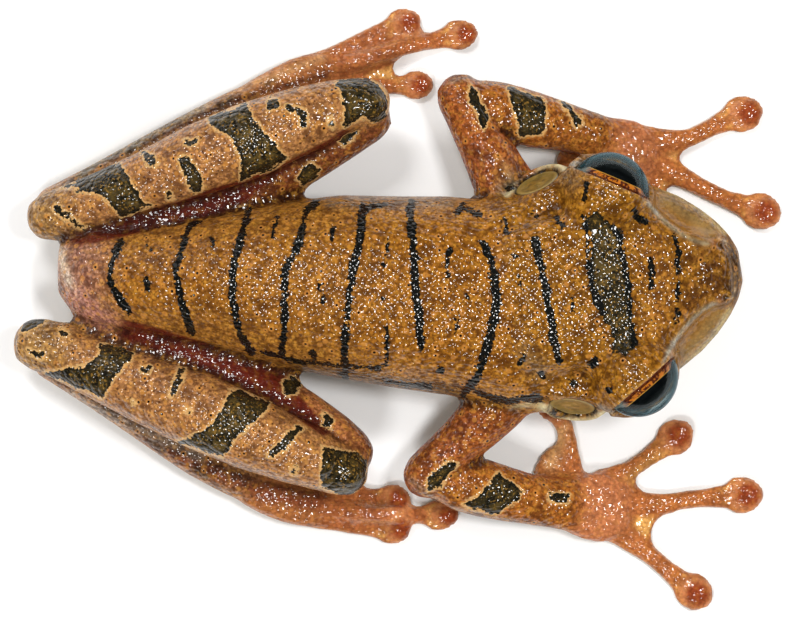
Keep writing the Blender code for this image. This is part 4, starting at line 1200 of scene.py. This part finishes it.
# Painted reflection: the haze turns pale grey near the edge, for the floor that the cornea mirrors there.
haze_and_rim_reflection = painted(tree, rgba("#174650"), [(slant, 0.87, 0.97, 1.0, rgba("#b4c4c4"))])
haze = add_node(tree, "BsdfDiffuse", {"Color": haze_and_rim_reflection})
clear = add_node(tree, "BsdfTransparent", {"Color": rgba("#f4fafa")})
gloss = add_node(tree, "BsdfGlossy", {"Color": (1.0, 1.0, 1.0, 1.0), "Roughness": 0.03})
haze_share = add_node(
    tree,
    "MapRange",
    {"Value": slant, "From Min": 0.36, "From Max": 0.8, "To Max": 0.88},
)
haze_here = add_node(tree, "Math", {0: haze_share, 1: front_share}, operation="MULTIPLY")
hazy = add_node(tree, "MixShader", {0: haze_here, 1: clear, 2: haze})
grazing = add_node(tree, "Math", {0: slant, 1: 7.0}, operation="POWER")
mirror = {0: grazing, 1: 0.6, 2: 0.018}
mirror_share = add_node(tree, "Math", mirror, operation="MULTIPLY_ADD")
film = add_node(tree, "MixShader", {0: mirror_share, 1: hazy, 2: gloss})
add_node(tree, "OutputMaterial", {"Surface": film})

for side in ("left", "right"):
    build_globe(side).data.materials.append(iris)
    build_cornea(side).data.materials.append(cornea_film)

# Eardrums
# Each eardrum is a thin, taut membrane in its seat on the side of the head, held by the skin round
# it. It is olive skin so thin that the hollow behind darkens it.
EARDRUM_PROFILE = [(0.0, -0.5), (1.6, -0.5), (2.14, -0.3), (2.12, -0.1), (1.98, -0.01), (1.8, 0.03)]
EARDRUM_PROFILE += [(1.6, 0.0), (1.3, -0.07), (0.9, -0.1), (0.5, -0.07), (0.2, -0.02), (0.0, -0.01)]
EARDRUM_TURNS = 64


def build_eardrum(side):
    """The membrane's profile spun round its axis and set into the head."""
    bm = bmesh.new()
    profile = [bm.verts.new((out, 0, rise)) for out, rise in EARDRUM_PROFILE]
    edges = [bm.edges.new(pair) for pair in zip(profile, profile[1:])]
    bmesh.ops.spin(
        bm,
        geom=profile + edges,
        cent=(0, 0, 0),
        axis=(0, 0, 1),
        angle=2 * math.pi,
        steps=EARDRUM_TURNS,
        use_merge=True,
    )
    bmesh.ops.remove_doubles(bm, verts=bm.verts, dist=SAME_POINT)
    from_middle = [vert.co.xy.length for vert in bm.verts]
    centre, ways = ear_frame(side)
    for vert in bm.verts:
        vert.co = (centre + vert.co.z * ways[0] + vert.co.x * ways[1] + vert.co.y * ways[2]) * MM
    obj = smooth_object("eardrum_skin_" + side, bm)
    keep(obj.data, "from_middle", from_middle)
    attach(obj, "root")
    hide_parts("eardrum_" + side)
    return obj


# Thin, moist skin: olive, stained darker where the hollow behind shows, with a dark line of painted shade
# round it where it meets its seat.
thin_membrane = new_material("eardrum_membrane")
tree = thin_membrane.node_tree
where = add_node(tree, "TexCoord", output="Object")
from_middle = add_node(tree, "Attribute", output="Fac", attribute_name="from_middle")
stain = add_node(tree, "TexNoise", {"Vector": where, "Scale": per_mm(0.6), "Detail": 3.0})
membrane = painted(
    tree,
    rgba("#8a6c26"),
    [
        (stain, 0.48, 0.36, 0.8, rgba("#5d4a1c")),
        (stain, 0.52, 0.66, 0.7, rgba("#b08a4a")),
        (from_middle, 0.6, 1.5, 0.5, rgba("#74622a")),
        (from_middle, 1.55, 1.85, 0.6, rgba("#a08540")),
        # Painted shade where the membrane meets its seat.
        (from_middle, 1.95, 2.08, 1.0, rgba("#1e1609")),
    ],
)
shader = add_node(
    tree,
    "BsdfPrincipled",
    {"Base Color": membrane, "Roughness": 0.45, "Coat Weight": 0.7, "Coat Roughness": 0.15, "Coat IOR": 1.4},
)
add_node(tree, "OutputMaterial", {"Surface": shader})
for side in ("left", "right"):
    build_eardrum(side).data.materials.append(thin_membrane)

# Floor and lights
# The frog sits on a wide sheet of pale paper. Three small soft boxes round it make the sparks on
# the wet skin, a wide one behind it on its left fills the shadows, and dim light is all round.
FLOOR_HALF = 2.0  # m
PAPER_WHITE = (0.86, 0.86, 0.86, 1.0)
LIGHT_ALL_ROUND = 0.48

floor_mesh = bmesh.new()
bmesh.ops.create_grid(floor_mesh, x_segments=1, y_segments=1, size=FLOOR_HALF)
floor_data = bpy.data.meshes.new("floor")
floor_mesh.to_mesh(floor_data)
floor_mesh.free()
floor = bpy.data.objects.new("floor", floor_data)
bpy.context.scene.collection.objects.link(floor)
# Plain matt paper.
pale = new_material("pale_paper")
paper = add_node(pale.node_tree, "BsdfPrincipled", {"Base Color": PAPER_WHITE})
add_node(pale.node_tree, "OutputMaterial", {"Surface": paper})
floor_data.materials.append(pale)


def soft_box(name, place_mm, size_mm, watts):
    """A square lamp over the floor, turned to the frog."""
    light = bpy.data.lights.new(name, "AREA")
    light.shape = "SQUARE"
    light.size = size_mm * MM
    light.energy = watts
    obj = bpy.data.objects.new(name, light)
    obj.location = [value * MM for value in place_mm]
    obj.rotation_euler = (-Vector(place_mm)).to_track_quat("-Z", "Y").to_euler()
    bpy.context.scene.collection.objects.link(obj)


soft_box("front_light", (260, 40, 730), 130, 2.8)
soft_box("left_light", (-180, 380, 660), 150, 2.2)
soft_box("right_light", (-160, -390, 660), 150, 2.2)
soft_box("fill_light", (-500, 450, 450), 500, 0.8)
world = bpy.context.scene.world or bpy.data.worlds.new("studio")
bpy.context.scene.world = world
world.use_nodes = True
world.node_tree.nodes["Background"].inputs["Color"].default_value = (1, 1, 1, 1)
world.node_tree.nodes["Background"].inputs["Strength"].default_value = LIGHT_ALL_ROUND
world.cycles_visibility.glossy = False  # the wet skin mirrors the soft boxes alone
bpy.context.scene.view_settings.view_transform = "Standard"
